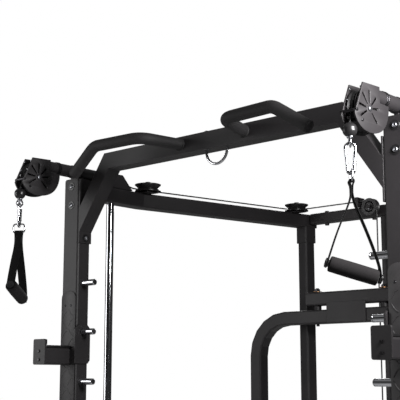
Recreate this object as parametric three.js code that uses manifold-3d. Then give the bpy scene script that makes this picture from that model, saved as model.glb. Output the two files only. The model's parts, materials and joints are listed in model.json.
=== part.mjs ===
// Functional trainer: a rack with swivelling high pulleys, pull-up handles, a guided bar and a load carriage.
// Millimetres, +Z up, +X to the right seen from the front, +Y towards the back.
// Heights are from the floor. Depths are measured from the front face of the front uprights.
import * as THREE from "three";
import { mergeVertices } from "three/addons/utils/BufferGeometryUtils.js";
import Module from "manifold-3d";

const wasm = await Module();
wasm.setup();

// ---- driving dimensions -------------------------------------------------------------------
const GAP = 0.3;
const WALL = 3;
const RAIL = { inner: 550, outer: 630, front: -300, rear: 1080, height: 50 };
const DEPTH_CENTRE = (RAIL.front + RAIL.rear) / 2;

const UPRIGHT = { inner: 550, outer: 620, depth: 50, top: 2057, corner: 6 };
const UPRIGHT_X = (UPRIGHT.inner + UPRIGHT.outer) / 2;
const REAR_UPRIGHT = { x: 431, y: 1040, size: 45, top: 2002.5 };
const KINK = { x: UPRIGHT_X, y: 300 };
const SIDE_BEAM = { size: 50, bottom: 2003, top: 2053 };
const SIDE_BEAM_Z = (SIDE_BEAM.bottom + SIDE_BEAM.top) / 2;
const REAR_BEAM = { halfLength: 398, front: 1023, rear: 1063, bottom: 2013, top: 2053 };

const CROSSBAR = { bottom: 2071, top: 2121, corner: 437, depth: 50 };
const BRACE = { plateX: 545, slope: Math.tan(THREE.MathUtils.degToRad(55)), height: 78 };
const BRACE_PLATE = { bottom: 1854, top: 2015, hole: 5.5, boltZ: 1870, boltY: 27 };

const PEG = { top: 1730, pitch: 150, count: 9, radius: 9.5, length: 58, y: 22 };
const BOLT = { shank: 5, head: 9, headHeight: 6, hole: 5.4 };
const FRONT_BOLT_Z = [1976, 2036];
const STRIP = { halfWidth: 32, bottom: 320, top: 1706, thickness: 4 };

const HOOK = { bottom: 1480, armTop: 1531, lipTop: 1556, armInner: 568, armOuter: 620, front: -106 };
const ARM = { x: 588, z: 2084, outerRadius: 19, boreRadius: 15.5, front: -61, rear: 195 };
const BRACKET = { halfWidth: 20, plate: 4, wheelY: -146, wheelZ: 2042 };
const SLOT = { nearHalf: 2.6, farHalf: 3.3 };
const BRACKET_WHEEL = { outer: 47, groove: 37.5, bore: 6.4, halfThickness: 11 };
const BRACKET_CABLE_RADIUS = ARM.z - BRACKET.wheelZ;
const WHEEL = { outer: 44, groove: 33.5, bore: 5.4, halfThickness: 12 };
const WHEEL_CABLE_RADIUS = 38;
const SMALL_WHEEL = { outer: 31, groove: 20.5, bore: 5.4, halfThickness: 12 };
const SMALL_CABLE_RADIUS = 25;
const CABLE = { radius: 2.5, z: 2069 };
const KINK_WHEEL = { x: ARM.x - WHEEL_CABLE_RADIUS, y: 305 };
const CORNER_WHEEL = { x: 415, y: 960 };
const CENTRE_WHEEL = { x: 115, y: CORNER_WHEEL.y + WHEEL_CABLE_RADIUS, z: CABLE.z - SMALL_CABLE_RADIUS };

const WHEEL_TAB = { inner: 18, half: 20, cornerOuter: 45, thickness: 3 };
const GUARD = { offset: 55, half: 8, slotHalf: 9, rise: 15 };

const BALL = { y: -200, z: 1986, radius: 17 };
const EYE_Z = 1957;
const CARABINER = { top: 1959, bottom: 1882.7, width: 30, bar: 7 };
const RING = { barTop: 1895.6, barBottom: 1865.5, width: 40, bar: 4.6 };
const STRAP = { width: 25, thickness: 2.5, loopZ: 1867.8, loopOuter: 7, loopInner: 4.2, split: 1829 };
const GRIP = { tilt: -17, radius: 17.5, halfLength: 55, tubeRadius: 8, tab: 59.5, capRadius: 11 };
const GRIP_Z = { left: 1690, right: 1670 };
// The way each hanging handle has turned on its swivel, in degrees from +X.
const HANDLE_TURN = { left: 123, right: 42 };

const ARCH = { x: 605, y: 965, z: 1658, size: 50, bend: 135 };
const ARCH_BEAM = { halfLength: 367, bottom: 1699, top: 1747, boltX: [50, 331] };
const POST = { x: 72, y: 1043, size: 40 };
const CARRIAGE = { bottom: 380, top: 560, sleeve: 56, hornZ: 450, hornRadius: 24, hornEnd: 355 };
const LUG = { x: CENTRE_WHEEL.x - SMALL_CABLE_RADIUS, bottom: 520, bore: 4 };
const ROD = { x: UPRIGHT_X, y: 167, radius: 12.5 };
const STOP = { top: 289.7, height: 22, radius: 22 };
// The bar runs in front of its guide rods, clear of them from its middle to its shoulders.
const BAR = { y: 108, z: 340, radius: 14, sleeveRadius: 25, sleeveEnd: 980 };
const SHOULDER = { x: 650, radius: 31, width: 12 };
const BAR_SLEEVE = { radius: 26, halfHeight: 50, blockHalf: 22, blockHalfHeight: 24 };
const ANCHOR = { radius: 38, wire: 4, centreZ: 2068, y: 25 };

// ---- materials ----------------------------------------------------------------------------
const paint = new THREE.MeshStandardMaterial({ color: 0x1b1a1c, roughness: 0.55, metalness: 0.3 });
const sleeve = new THREE.MeshStandardMaterial({ color: 0x151416, roughness: 0.9, metalness: 0 });
const chrome = new THREE.MeshStandardMaterial({ color: 0xd8d8dc, roughness: 0.12, metalness: 1 });
const plastic = new THREE.MeshStandardMaterial({ color: 0x121214, roughness: 0.4, metalness: 0 });
const rubber = new THREE.MeshStandardMaterial({ color: 0x242325, roughness: 0.8, metalness: 0 });
const webbing = new THREE.MeshStandardMaterial({ color: 0x0c0c0d, roughness: 0.95, metalness: 0 });
const steel = new THREE.MeshStandardMaterial({ color: 0x3a393c, roughness: 0.35, metalness: 0.9 });

// ---- solids -------------------------------------------------------------------------------
function solidOf(geometry) {
  const bare = geometry.clone();
  bare.deleteAttribute("normal");
  bare.deleteAttribute("uv");
  const merged = mergeVertices(bare, 1e-3);
  return new wasm.Manifold(
    new wasm.Mesh({
      numProp: 3,
      vertProperties: merged.attributes.position.array,
      triVerts: new Uint32Array(merged.index.array),
    }),
  );
}

function geometryOf(solid) {
  const mesh = solid.getMesh();
  const geometry = new THREE.BufferGeometry();
  geometry.setAttribute("position", new THREE.BufferAttribute(mesh.vertProperties, 3));
  geometry.setIndex(new THREE.BufferAttribute(mesh.triVerts, 1));
  return geometry;
}

const join = (...pieces) => geometryOf(pieces.map(solidOf).reduce((whole, piece) => whole.add(piece)));
const cut = (base, ...tools) =>
  geometryOf(tools.map(solidOf).reduce((whole, tool) => whole.subtract(tool), solidOf(base)));

function box(x0, x1, y0, y1, z0, z1) {
  const centre = [(x0 + x1) / 2, (y0 + y1) / 2, (z0 + z1) / 2];
  return new THREE.BoxGeometry(x1 - x0, y1 - y0, z1 - z0).translate(...centre);
}

// A round bar from one point to another.
function rod(from, to, radius, sides = 12) {
  const a = new THREE.Vector3(...from);
  const b = new THREE.Vector3(...to);
  const axis = b.clone().sub(a);
  const bar = new THREE.CylinderGeometry(radius, radius, axis.length(), sides);
  const up = new THREE.Vector3(0, 1, 0);
  const turn = new THREE.Quaternion().setFromUnitVectors(up, axis.clone().normalize());
  return bar.applyQuaternion(turn).translate(...a.add(b).multiplyScalar(0.5).toArray());
}

function roundedRectangle(width, height, corner) {
  const shape = new THREE.Shape();
  const x = width / 2 - corner;
  const y = height / 2 - corner;
  shape.absarc(x, y, corner, 0, Math.PI / 2);
  shape.absarc(-x, y, corner, Math.PI / 2, Math.PI);
  shape.absarc(-x, -y, corner, Math.PI, 1.5 * Math.PI);
  shape.absarc(x, -y, corner, 1.5 * Math.PI, 2 * Math.PI);
  shape.closePath();
  return shape;
}

function tubeSection(width, height, wall = WALL, corner = UPRIGHT.corner) {
  const section = roundedRectangle(width, height, corner);
  section.holes.push(roundedRectangle(width - 2 * wall, height - 2 * wall, Math.max(corner - wall, 1)));
  return section;
}

function circle(radius) {
  const shape = new THREE.Shape();
  shape.absarc(0, 0, radius, 0, 2 * Math.PI);
  return shape;
}

function polygon(points) {
  return new THREE.Shape(points.map(([x, y]) => new THREE.Vector2(x, y)));
}

function extrude(shape, depth, curveSegments = 1) {
  return new THREE.ExtrudeGeometry(shape, { depth, bevelEnabled: false, curveSegments });
}

// A plate drawn in X and Z, from y0 to y1.
function plateXZ(shape, y0, y1, curveSegments = 1) {
  return extrude(shape, y1 - y0, curveSegments).rotateX(Math.PI / 2).translate(0, y1, 0);
}

// A plate drawn in Y and Z, from x0 to x1.
function plateYZ(shape, x0, x1, curveSegments = 1) {
  const axes = new THREE.Matrix4().makeBasis(
    new THREE.Vector3(0, 1, 0),
    new THREE.Vector3(0, 0, 1),
    new THREE.Vector3(1, 0, 0),
  );
  return extrude(shape, x1 - x0, curveSegments).applyMatrix4(axes).translate(x0, 0, 0);
}

// A path through given points, so that a swept section stands exactly on each of them.
class PointPath extends THREE.Curve {
  constructor(points) {
    super();
    this.points = points.map((point) => new THREE.Vector3(...point));
  }
  getPoint(t, target = new THREE.Vector3()) {
    const place = t * (this.points.length - 1);
    const index = Math.min(Math.floor(place), this.points.length - 2);
    return target.lerpVectors(this.points[index], this.points[index + 1], place - index);
  }
  getPointAt(u, target) {
    return this.getPoint(u, target);
  }
  getTangentAt(u) {
    const index = Math.round(u * (this.points.length - 1));
    const here = this.points[index];
    const before = this.points[Math.max(index - 1, 0)];
    const after = this.points[Math.min(index + 1, this.points.length - 1)];
    const along = new THREE.Vector3();
    if (index > 0) along.add(here.clone().sub(before).normalize());
    if (index < this.points.length - 1) along.add(after.clone().sub(here).normalize());
    return along.normalize();
  }
  getSpacedPoints() {
    return this.points;
  }
}

function sweep(section, points, curveSegments = 1) {
  const extrudePath = new PointPath(points);
  return new THREE.ExtrudeGeometry(section, { extrudePath, steps: points.length - 1, curveSegments });
}

// Replaces each inner corner of a route with an arc of the given bend radius.
function roundCorners(points, bend, steps = 6) {
  const corners = points.map((point) => new THREE.Vector3(...point));
  const route = [corners[0]];
  for (let i = 1; i < corners.length - 1; i += 1) {
    const toBefore = corners[i - 1].clone().sub(corners[i]).normalize();
    const toAfter = corners[i + 1].clone().sub(corners[i]).normalize();
    const half = toBefore.angleTo(toAfter) / 2;
    const middle = toBefore.clone().add(toAfter).normalize();
    const centre = corners[i].clone().addScaledVector(middle, bend / Math.sin(half));
    const start = corners[i].clone().addScaledVector(toBefore, bend / Math.tan(half)).sub(centre);
    const axis = start.clone().cross(middle.clone().negate()).normalize();
    for (let k = 0; k <= steps; k += 1) {
      const turned = start.clone().applyAxisAngle(axis, ((Math.PI - 2 * half) * k) / steps);
      route.push(turned.add(centre));
    }
  }
  route.push(corners.at(-1));
  return route.map((point) => point.toArray());
}

// A grooved wheel about the +Y axis, centred on the origin.
function grooved({ outer, groove, bore, halfThickness }) {
  const profile = [
    [bore, -halfThickness],
    [outer, -halfThickness],
    [groove, 0],
    [outer, halfThickness],
    [bore, halfThickness],
    [bore, -halfThickness],
  ];
  return new THREE.LatheGeometry(profile.map(([x, y]) => new THREE.Vector2(x, y)), 20);
}

// ---- the object ---------------------------------------------------------------------------
const group = new THREE.Group();
group.position.y = -DEPTH_CENTRE;

function add(name, geometry, material) {
  const mesh = new THREE.Mesh(geometry, material);
  mesh.name = name;
  group.add(mesh);
}

// Right-hand pieces are drawn at +X. The left-hand copy is the mirror image, turned right side out.
function mirrored(geometry) {
  const flat = geometry.index ? geometry.toNonIndexed() : geometry.clone();
  const place = flat.attributes.position;
  for (let i = 0; i < place.count; i += 3) {
    const corners = [0, 2, 1].map((k) => [-place.getX(i + k), place.getY(i + k), place.getZ(i + k)]);
    corners.forEach((corner, k) => place.setXYZ(i + k, ...corner));
  }
  const result = new THREE.BufferGeometry();
  result.setAttribute("position", place);
  return result;
}

function addPair(name, geometry, material) {
  add(`${name}_right`, geometry, material);
  add(`${name}_left`, mirrored(geometry), material);
}

const pegHeights = Array.from({ length: PEG.count }, (_, i) => PEG.top - i * PEG.pitch);

// Floor rails, each with a drain hole in its underside, and the beam across the back.
function floorRail() {
  const middle = (RAIL.inner + RAIL.outer) / 2;
  const outside = box(RAIL.inner, RAIL.outer, RAIL.front, RAIL.rear, 0, RAIL.height);
  const inside = box(
    RAIL.inner + WALL, RAIL.outer - WALL, RAIL.front + WALL, RAIL.rear - WALL, WALL, RAIL.height - WALL,
  );
  return cut(outside, inside, rod([middle, 0, -5], [middle, 0, 10], 6, 12));
}

function rearFloorBeam() {
  const half = RAIL.inner - GAP;
  const section = tubeSection(50, RAIL.height);
  return plateYZ(section, -half, half).translate(0, REAR_UPRIGHT.y, RAIL.height / 2);
}

function frontUpright() {
  const bottom = RAIL.height + GAP;
  const tube = extrude(tubeSection(UPRIGHT.outer - UPRIGHT.inner, UPRIGHT.depth), UPRIGHT.top - bottom);
  tube.translate(UPRIGHT_X, UPRIGHT.depth / 2, bottom);
  const pegHoles = pegHeights.map((z) =>
    rod([UPRIGHT.inner - 5, PEG.y, z], [UPRIGHT.inner + 5, PEG.y, z], PEG.radius + GAP),
  );
  const boltHoles = FRONT_BOLT_Z.map((z) => rod([UPRIGHT_X, -5, z], [UPRIGHT_X, 5, z], BOLT.hole, 12));
  const braceHole = rod(
    [UPRIGHT.inner - 5, BRACE_PLATE.boltY, BRACE_PLATE.boltZ],
    [UPRIGHT.inner + 5, BRACE_PLATE.boltY, BRACE_PLATE.boltZ],
    BRACE_PLATE.hole,
    12,
  );
  return cut(tube, ...pegHoles, ...boltHoles, braceHole);
}

// The chrome pegs come through the inner wall from a flat bar inside the upright.
function pegRow() {
  const barInner = UPRIGHT.inner + WALL + GAP;
  const pegs = pegHeights.map((z) =>
    rod([UPRIGHT.inner - PEG.length, PEG.y, z], [barInner + 2, PEG.y, z], PEG.radius));
  const bar = box(barInner, barInner + 4, PEG.y - 12, PEG.y + 12, pegHeights.at(-1) - 20, PEG.top + 20);
  return join(bar, ...pegs);
}

// Two bolts through the front wall, held by one nut strip inside.
function frontBolts() {
  const stripY = WALL + GAP;
  const [low, high] = FRONT_BOLT_Z;
  const strip = box(UPRIGHT_X - 10, UPRIGHT_X + 10, stripY, stripY + 4, low - 14, high + 14);
  const bolts = FRONT_BOLT_Z.flatMap((z) => [
    rod([UPRIGHT_X, -GAP - 1, z], [UPRIGHT_X, stripY + 2, z], BOLT.shank, 12),
    rod([UPRIGHT_X, -GAP - BOLT.headHeight, z], [UPRIGHT_X, -GAP, z], BOLT.head, 6),
  ]);
  return join(strip, ...bolts);
}

function braceBolt() {
  const plateFace = BRACE.plateX - GAP;
  const place = (x) => [x, BRACE_PLATE.boltY, BRACE_PLATE.boltZ];
  return join(
    rod(place(plateFace - BOLT.headHeight), place(plateFace), BOLT.head, 6),
    rod(place(plateFace - 1), place(UPRIGHT.inner + WALL + 6), BOLT.shank, 12),
  );
}

function treadStrip() {
  const outline = new THREE.Shape();
  const top = STRIP.top - 24;
  outline.moveTo(-STRIP.halfWidth, STRIP.bottom);
  outline.lineTo(STRIP.halfWidth, STRIP.bottom);
  outline.lineTo(STRIP.halfWidth, top);
  outline.quadraticCurveTo(STRIP.halfWidth, STRIP.top, 0, STRIP.top);
  outline.quadraticCurveTo(-STRIP.halfWidth, STRIP.top, -STRIP.halfWidth, top);
  return plateXZ(outline, -GAP - STRIP.thickness, -GAP, 5).translate(UPRIGHT_X, 0, 0);
}

// The rear uprights stand square to the slanted side beams.
const slant = Math.atan2(KINK.x - REAR_UPRIGHT.x, REAR_UPRIGHT.y - KINK.y);

function rearUpright() {
  const bottom = RAIL.height + GAP;
  return extrude(tubeSection(REAR_UPRIGHT.size, REAR_UPRIGHT.size), REAR_UPRIGHT.top - bottom)
    .rotateZ(slant)
    .translate(REAR_UPRIGHT.x, REAR_UPRIGHT.y, bottom);
}

// A vertical bolt that a flat wheel turns on, with its head above the wheel.
function wheelBolt(x, y) {
  const wheelTop = CABLE.z + WHEEL.halfThickness;
  return [
    rod([x, y, SIDE_BEAM.top - 2], [x, y, wheelTop + 8], BOLT.shank, 12),
    rod([x, y, wheelTop + 1], [x, y, wheelTop + 9], BOLT.head, 6),
  ];
}

function sideBeam() {
  const half = SIDE_BEAM.size / 2;
  const along = [-Math.sin(slant), Math.cos(slant)];
  const rear = [REAR_UPRIGHT.x + along[0] * 30, REAR_UPRIGHT.y + along[1] * 30];
  const route = [
    [KINK.x, UPRIGHT.depth + GAP, SIDE_BEAM_Z],
    [KINK.x, KINK.y, SIDE_BEAM_Z],
    [rear[0], rear[1], SIDE_BEAM_Z],
  ];
  const beam = sweep(tubeSection(SIDE_BEAM.size, SIDE_BEAM.size), route);
  const sleeveTube = extrude(tubeSection(REAR_UPRIGHT.size + 8, REAR_UPRIGHT.size + 8, 3.2, 5), 60)
    .rotateZ(slant)
    .translate(REAR_UPRIGHT.x, REAR_UPRIGHT.y, SIDE_BEAM.bottom - 58);
  const endCap = box(-half, half, -1, 3, -half, half)
    .rotateZ(slant)
    .translate(rear[0], rear[1], SIDE_BEAM_Z);
  const wheelTab = (at, outerX) => box(
    at.x - WHEEL_TAB.inner, outerX, at.y - WHEEL_TAB.half, at.y + WHEEL_TAB.half,
    SIDE_BEAM.top - 1, SIDE_BEAM.top + WHEEL_TAB.thickness,
  );
  return join(
    beam, sleeveTube, endCap,
    wheelTab(KINK_WHEEL, KINK.x + WHEEL_TAB.half),
    wheelTab(CORNER_WHEEL, CORNER_WHEEL.x + WHEEL_TAB.cornerOuter),
    ...wheelBolt(KINK_WHEEL.x, KINK_WHEEL.y),
    ...wheelBolt(CORNER_WHEEL.x, CORNER_WHEEL.y),
  );
}

// The rear beam carries the two centre wheels on stub axles, and a guard where each cable comes in.
function rearTopBeam() {
  const middleY = (REAR_BEAM.front + REAR_BEAM.rear) / 2;
  const middleZ = (REAR_BEAM.bottom + REAR_BEAM.top) / 2;
  const size = REAR_BEAM.rear - REAR_BEAM.front;
  const beam = plateYZ(tubeSection(size, size), -REAR_BEAM.halfLength, REAR_BEAM.halfLength)
    .translate(0, middleY, middleZ);
  const wheelFront = CENTRE_WHEEL.y - WHEEL.halfThickness;
  const perSide = [-1, 1].flatMap((side) => {
    const x = side * CENTRE_WHEEL.x;
    const guardX = side * (CENTRE_WHEEL.x + GUARD.offset);
    const guardOuter = GUARD.half + 12;
    const guard = cut(
      box(
        guardX - GUARD.half, guardX + GUARD.half, wheelFront, REAR_BEAM.front + 10,
        REAR_BEAM.top - 2, CABLE.z + GUARD.rise,
      ),
      box(
        guardX - guardOuter, guardX + guardOuter, wheelFront + 5, CENTRE_WHEEL.y + GUARD.half,
        CABLE.z - GUARD.slotHalf, CABLE.z + GUARD.slotHalf,
      ),
    );
    return [
      guard,
      rod([x, wheelFront - 3, CENTRE_WHEEL.z], [x, REAR_BEAM.front + 2, CENTRE_WHEEL.z], BOLT.shank, 12),
      rod([x, wheelFront - 8, CENTRE_WHEEL.z], [x, wheelFront - 1.5, CENTRE_WHEEL.z], BOLT.head, 6),
      rod([side * 335, middleY, REAR_BEAM.bottom - 8], [side * 335, middleY, REAR_BEAM.top + 6], 8, 6),
      rod([side * 128, middleY, REAR_BEAM.bottom - 8], [side * 128, middleY, REAR_BEAM.bottom + 2], 8, 6),
    ];
  });
  return join(beam, ...perSide);
}

// One outline holds the bar and both braces, and a smaller one hollows it from end plate to end plate.
function crossbar() {
  const outline = (inset, end) => {
    const top = CROSSBAR.top - inset;
    const bottom = CROSSBAR.bottom + inset;
    const corner = CROSSBAR.corner - inset * 0.5;
    const outerEnd = top - (end - corner) * BRACE.slope;
    const innerEnd = outerEnd - BRACE.height + inset * 3.4;
    const innerCorner = end - (bottom - innerEnd) / BRACE.slope;
    return polygon([
      [-corner, top], [-end, outerEnd], [-end, innerEnd], [-innerCorner, bottom],
      [innerCorner, bottom], [end, innerEnd], [end, outerEnd], [corner, top],
    ]);
  };
  const body = plateXZ(outline(0, BRACE.plateX + 1), 0, CROSSBAR.depth);
  const plates = [-1, 1].map((side) => {
    const inner = side > 0 ? BRACE.plateX : -UPRIGHT.inner + GAP;
    const outer = side > 0 ? UPRIGHT.inner - GAP : -BRACE.plateX;
    return box(inner, outer, 0, CROSSBAR.depth, BRACE_PLATE.bottom, BRACE_PLATE.top);
  });
  const hollow = plateXZ(outline(WALL, UPRIGHT.inner + 2), WALL, CROSSBAR.depth - WALL);
  const boltHoles = [-1, 1].map((side) =>
    rod([side * (BRACE.plateX - 4), BRACE_PLATE.boltY, BRACE_PLATE.boltZ],
      [side * (UPRIGHT.inner + 4), BRACE_PLATE.boltY, BRACE_PLATE.boltZ], BRACE_PLATE.hole, 12));
  const anchorHoles = [-ANCHOR.radius, ANCHOR.radius].map((x) =>
    rod([x, ANCHOR.y, CROSSBAR.bottom - 4], [x, ANCHOR.y, CROSSBAR.top + 4], ANCHOR.wire + GAP, 12));
  return cut(join(body, ...plates), hollow, ...boltHoles, ...anchorHoles);
}

function pullUpHandle() {
  const route = roundCorners(
    [[119, 5, 2096], [152, -128, 2103], [325, -142, 2101], [428, -130, 2032]],
    48,
  );
  return cut(sweep(circle(16), route, 6), box(90, 150, -GAP, 20, 2070, 2125));
}

// A U-bolt through the crossbar, with a nut on each leg.
function anchorRing() {
  const bend = Array.from({ length: 9 }, (_, i) => {
    const angle = Math.PI + (Math.PI * i) / 8;
    return [ANCHOR.radius * Math.cos(angle), ANCHOR.y, ANCHOR.centreZ + ANCHOR.radius * Math.sin(angle)];
  });
  const legTop = CROSSBAR.top + 9;
  const route = [[-ANCHOR.radius, ANCHOR.y, legTop], ...bend, [ANCHOR.radius, ANCHOR.y, legTop]];
  const nuts = [-ANCHOR.radius, ANCHOR.radius].map((x) =>
    rod([x, ANCHOR.y, CROSSBAR.top + GAP], [x, ANCHOR.y, CROSSBAR.top + 7], 8, 6));
  return join(sweep(circle(ANCHOR.wire), route, 4), ...nuts);
}

// The J-hook hangs on a peg through its side plate, and its arm runs out in front of the upright.
function jHook() {
  const back = -GAP - STRIP.thickness - GAP;
  const sideOuter = UPRIGHT.inner - GAP;
  const sidePlate = polygon([
    [back - 5, 1484], [44, 1484], [52, 1494], [52, 1590], [40, 1602], [6, 1602], [back - 5, 1588],
  ]);
  const arm = plateXZ(
    tubeSection(HOOK.armOuter - HOOK.armInner, HOOK.armTop - HOOK.bottom), HOOK.front + 5, back - 4,
  ).translate((HOOK.armInner + HOOK.armOuter) / 2, 0, (HOOK.bottom + HOOK.armTop) / 2);
  const lipShape = roundedRectangle(HOOK.armOuter - HOOK.armInner + 2, HOOK.lipTop - HOOK.bottom, 5);
  const lip = plateXZ(lipShape, HOOK.front, HOOK.front + 6)
    .translate((HOOK.armInner + HOOK.armOuter) / 2, 0, (HOOK.lipTop + HOOK.bottom) / 2);
  const pegZ = PEG.top - PEG.pitch;
  const hole = rod([sideOuter - 12, PEG.y, pegZ], [sideOuter + 4, PEG.y, pegZ], PEG.radius + 1.2);
  const frontPlate = box(sideOuter - 6.5, HOOK.armOuter, back - 5, back, 1484, HOOK.armTop - 2);
  const drain = rod([594, -60, HOOK.bottom - 4], [594, -60, HOOK.bottom + 8], 4, 12);
  return cut(join(plateYZ(sidePlate, sideOuter - 6.5, sideOuter), arm, lip, frontPlate), hole, drain);
}

// The fixed arm tube lies over the upright and ends in a channel on the side beam.
function pulleyArm() {
  const tube = rod([ARM.x, ARM.front, ARM.z], [ARM.x, ARM.rear, ARM.z], ARM.outerRadius, 24);
  const top = SIDE_BEAM.top + GAP;
  const cheek = polygon([[96, top], [243, top], [199, 2099], [96, 2099]]);
  const web = polygon([
    [3, UPRIGHT.top + GAP], [UPRIGHT.depth + 1, UPRIGHT.top + GAP], [UPRIGHT.depth + 1, top], [190, top],
    [190, ARM.z], [3, ARM.z],
  ]);
  const body = join(
    tube,
    plateYZ(web, ARM.x - 6, ARM.x + 6),
    plateYZ(cheek, ARM.x - 27, ARM.x - 23),
    plateYZ(cheek, ARM.x + 23, ARM.x + 27),
    box(ARM.x - 27, ARM.x + 27, 60, 243, top, top + 4),
    box(ARM.x - 27, ARM.x + 27, 96, 112, top, ARM.z),
    box(ARM.x - 28, ARM.x + 28, 3, UPRIGHT.depth - 3, UPRIGHT.top + GAP, UPRIGHT.top + 4.3),
  );
  return cut(body, rod([ARM.x, -80, ARM.z], [ARM.x, 260, ARM.z], ARM.boreRadius, 24));
}

// A side plate of the swivelling bracket, with a sunburst of slots round the wheel's axle.
function bracketPlate() {
  const shape = new THREE.Shape();
  shape.moveTo(-171, 2098);
  shape.lineTo(-207, 2022);
  shape.quadraticCurveTo(-194, 1988, -145, 1986);
  shape.quadraticCurveTo(-74, 1988, -64, 2050);
  shape.lineTo(-64, 2063);
  shape.lineTo(-101, 2064);
  shape.lineTo(-101, 2101);
  shape.closePath();
  // Each slot's direction in degrees, and how far from the axle it starts and ends.
  const slots = [
    [8, 10, 36], [47, 10, 40], [90, 10, 41], [130, 10, 41], [174, 10, 41], [211, 10, 42], [316, 10, 40],
  ];
  slots.forEach(([degrees, near, far]) => {
    const angle = THREE.MathUtils.degToRad(degrees);
    const along = [Math.cos(angle), Math.sin(angle)];
    const corner = (reach, across) => new THREE.Vector2(
      BRACKET.wheelY + reach * along[0] - across * along[1],
      BRACKET.wheelZ + reach * along[1] + across * along[0],
    );
    shape.holes.push(new THREE.Path([
      corner(near, -SLOT.nearHalf), corner(far, -SLOT.farHalf),
      corner(far, SLOT.farHalf), corner(near, SLOT.nearHalf),
    ]));
  });
  const axleHole = new THREE.Path();
  axleHole.absarc(BRACKET.wheelY, BRACKET.wheelZ, BRACKET_WHEEL.bore, 0, 2 * Math.PI);
  shape.holes.push(axleHole);
  return shape;
}

function pulleyBracket() {
  const inner = BRACKET.halfWidth - BRACKET.plate;
  const plates = [-BRACKET.halfWidth, inner].map((x) =>
    plateYZ(bracketPlate(), ARM.x + x, ARM.x + x + BRACKET.plate, 4));
  const backWeb = box(ARM.x - inner - 1, ARM.x + inner + 1, -113, -101, 2066, 2101);
  const stub = rod([ARM.x, -103, ARM.z], [ARM.x, ARM.front - GAP, ARM.z], ARM.outerRadius, 24);
  const spigot = rod([ARM.x, -80, ARM.z], [ARM.x, -20, ARM.z], ARM.boreRadius - 0.5, 24);
  const roller = (y, z) => rod([ARM.x - inner - 1, y, z], [ARM.x + inner + 1, y, z], 4, 12);
  const spacer = rod([ARM.x - inner - 1, -95, 2010], [ARM.x + inner + 1, -95, 2010], 5, 12);
  const whole = join(...plates, backWeb, stub, spigot, roller(-200.5, 2030), roller(-179, 2010), spacer);
  const wheelRoom = rod(
    [ARM.x - 12, BRACKET.wheelY, BRACKET.wheelZ], [ARM.x + 12, BRACKET.wheelY, BRACKET.wheelZ],
    BRACKET_WHEEL.outer + 2, 32,
  );
  return cut(whole, rod([ARM.x, -130, ARM.z], [ARM.x, 0, ARM.z], 11.5, 24), wheelRoom);
}

function bracketAxle() {
  const at = (x) => [ARM.x + x, BRACKET.wheelY, BRACKET.wheelZ];
  const face = BRACKET.halfWidth + GAP;
  return join(
    rod(at(-face - 2), at(face + 2), BRACKET_WHEEL.bore - 1, 12),
    rod(at(face), at(face + 5), 8, 6),
    rod(at(-face - 5), at(-face), 8, 6),
  );
}

// ---- what hangs from each bracket ---------------------------------------------------------
// Drawn round the vertical line through the ball: U is along the grip, V across it, then turned about Z.
const barU = (length, radius, z, sides) => rod([-length, 0, z], [length, 0, z], radius, sides);

function hang(geometry, side) {
  const x = side === "right" ? ARM.x : -ARM.x;
  return geometry.rotateZ(THREE.MathUtils.degToRad(HANDLE_TURN[side])).translate(x, BALL.y, 0);
}

function ballStop(side) {
  const x = side === "right" ? ARM.x : -ARM.x;
  const ball = new THREE.SphereGeometry(BALL.radius, 16, 10).rotateX(Math.PI / 2).translate(0, 0, BALL.z);
  const neck = rod([0, 0, BALL.z - BALL.radius + 3], [0, 0, EYE_Z + 8], 4.5, 12);
  const eye = new THREE.TorusGeometry(9.5, 2.5, 6, 14)
    .rotateX(Math.PI / 2).rotateZ(Math.PI / 2).translate(0, 0, EYE_Z);
  const turns = Array.from({ length: 7 }, (_, i) => {
    const angle = Math.PI / 2 + (Math.PI / 2) * (i / 6);
    return [
      x,
      BRACKET.wheelY + BRACKET_CABLE_RADIUS * Math.cos(angle),
      BRACKET.wheelZ + BRACKET_CABLE_RADIUS * Math.sin(angle),
    ];
  });
  const cableEnd = sweep(
    circle(CABLE.radius), [[x, -60, ARM.z], ...turns, [x, BALL.y, BALL.z + 12]], 4,
  );
  return join(hang(join(ball, neck, eye), side), cableEnd);
}

function carabiner(side) {
  const height = CARABINER.top - CARABINER.bottom;
  const outline = roundedRectangle(CARABINER.width, height, CARABINER.width / 2 - 1);
  const hole = roundedRectangle(
    CARABINER.width - 2 * CARABINER.bar, height - 2 * CARABINER.bar, CARABINER.width / 2 - CARABINER.bar - 1,
  );
  outline.holes.push(hole);
  const bar = plateXZ(outline, -CARABINER.bar / 2, CARABINER.bar / 2, 3);
  return hang(bar.translate(0, 0, CARABINER.bottom + height / 2), side);
}

function handleRing(side) {
  const height = RING.barTop - RING.barBottom;
  const outline = roundedRectangle(RING.width, height, 7);
  outline.holes.push(roundedRectangle(RING.width - 2 * RING.bar, height - 2 * RING.bar, 2.5));
  const ring = plateYZ(outline, -RING.bar / 2, RING.bar / 2, 2);
  return hang(ring.translate(0, 0, RING.barBottom + height / 2), side);
}

const tiltAngle = THREE.MathUtils.degToRad(GRIP.tilt);

function tilted(geometry, side) {
  return geometry.rotateY(-tiltAngle).translate(0, 0, GRIP_Z[side]);
}

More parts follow.
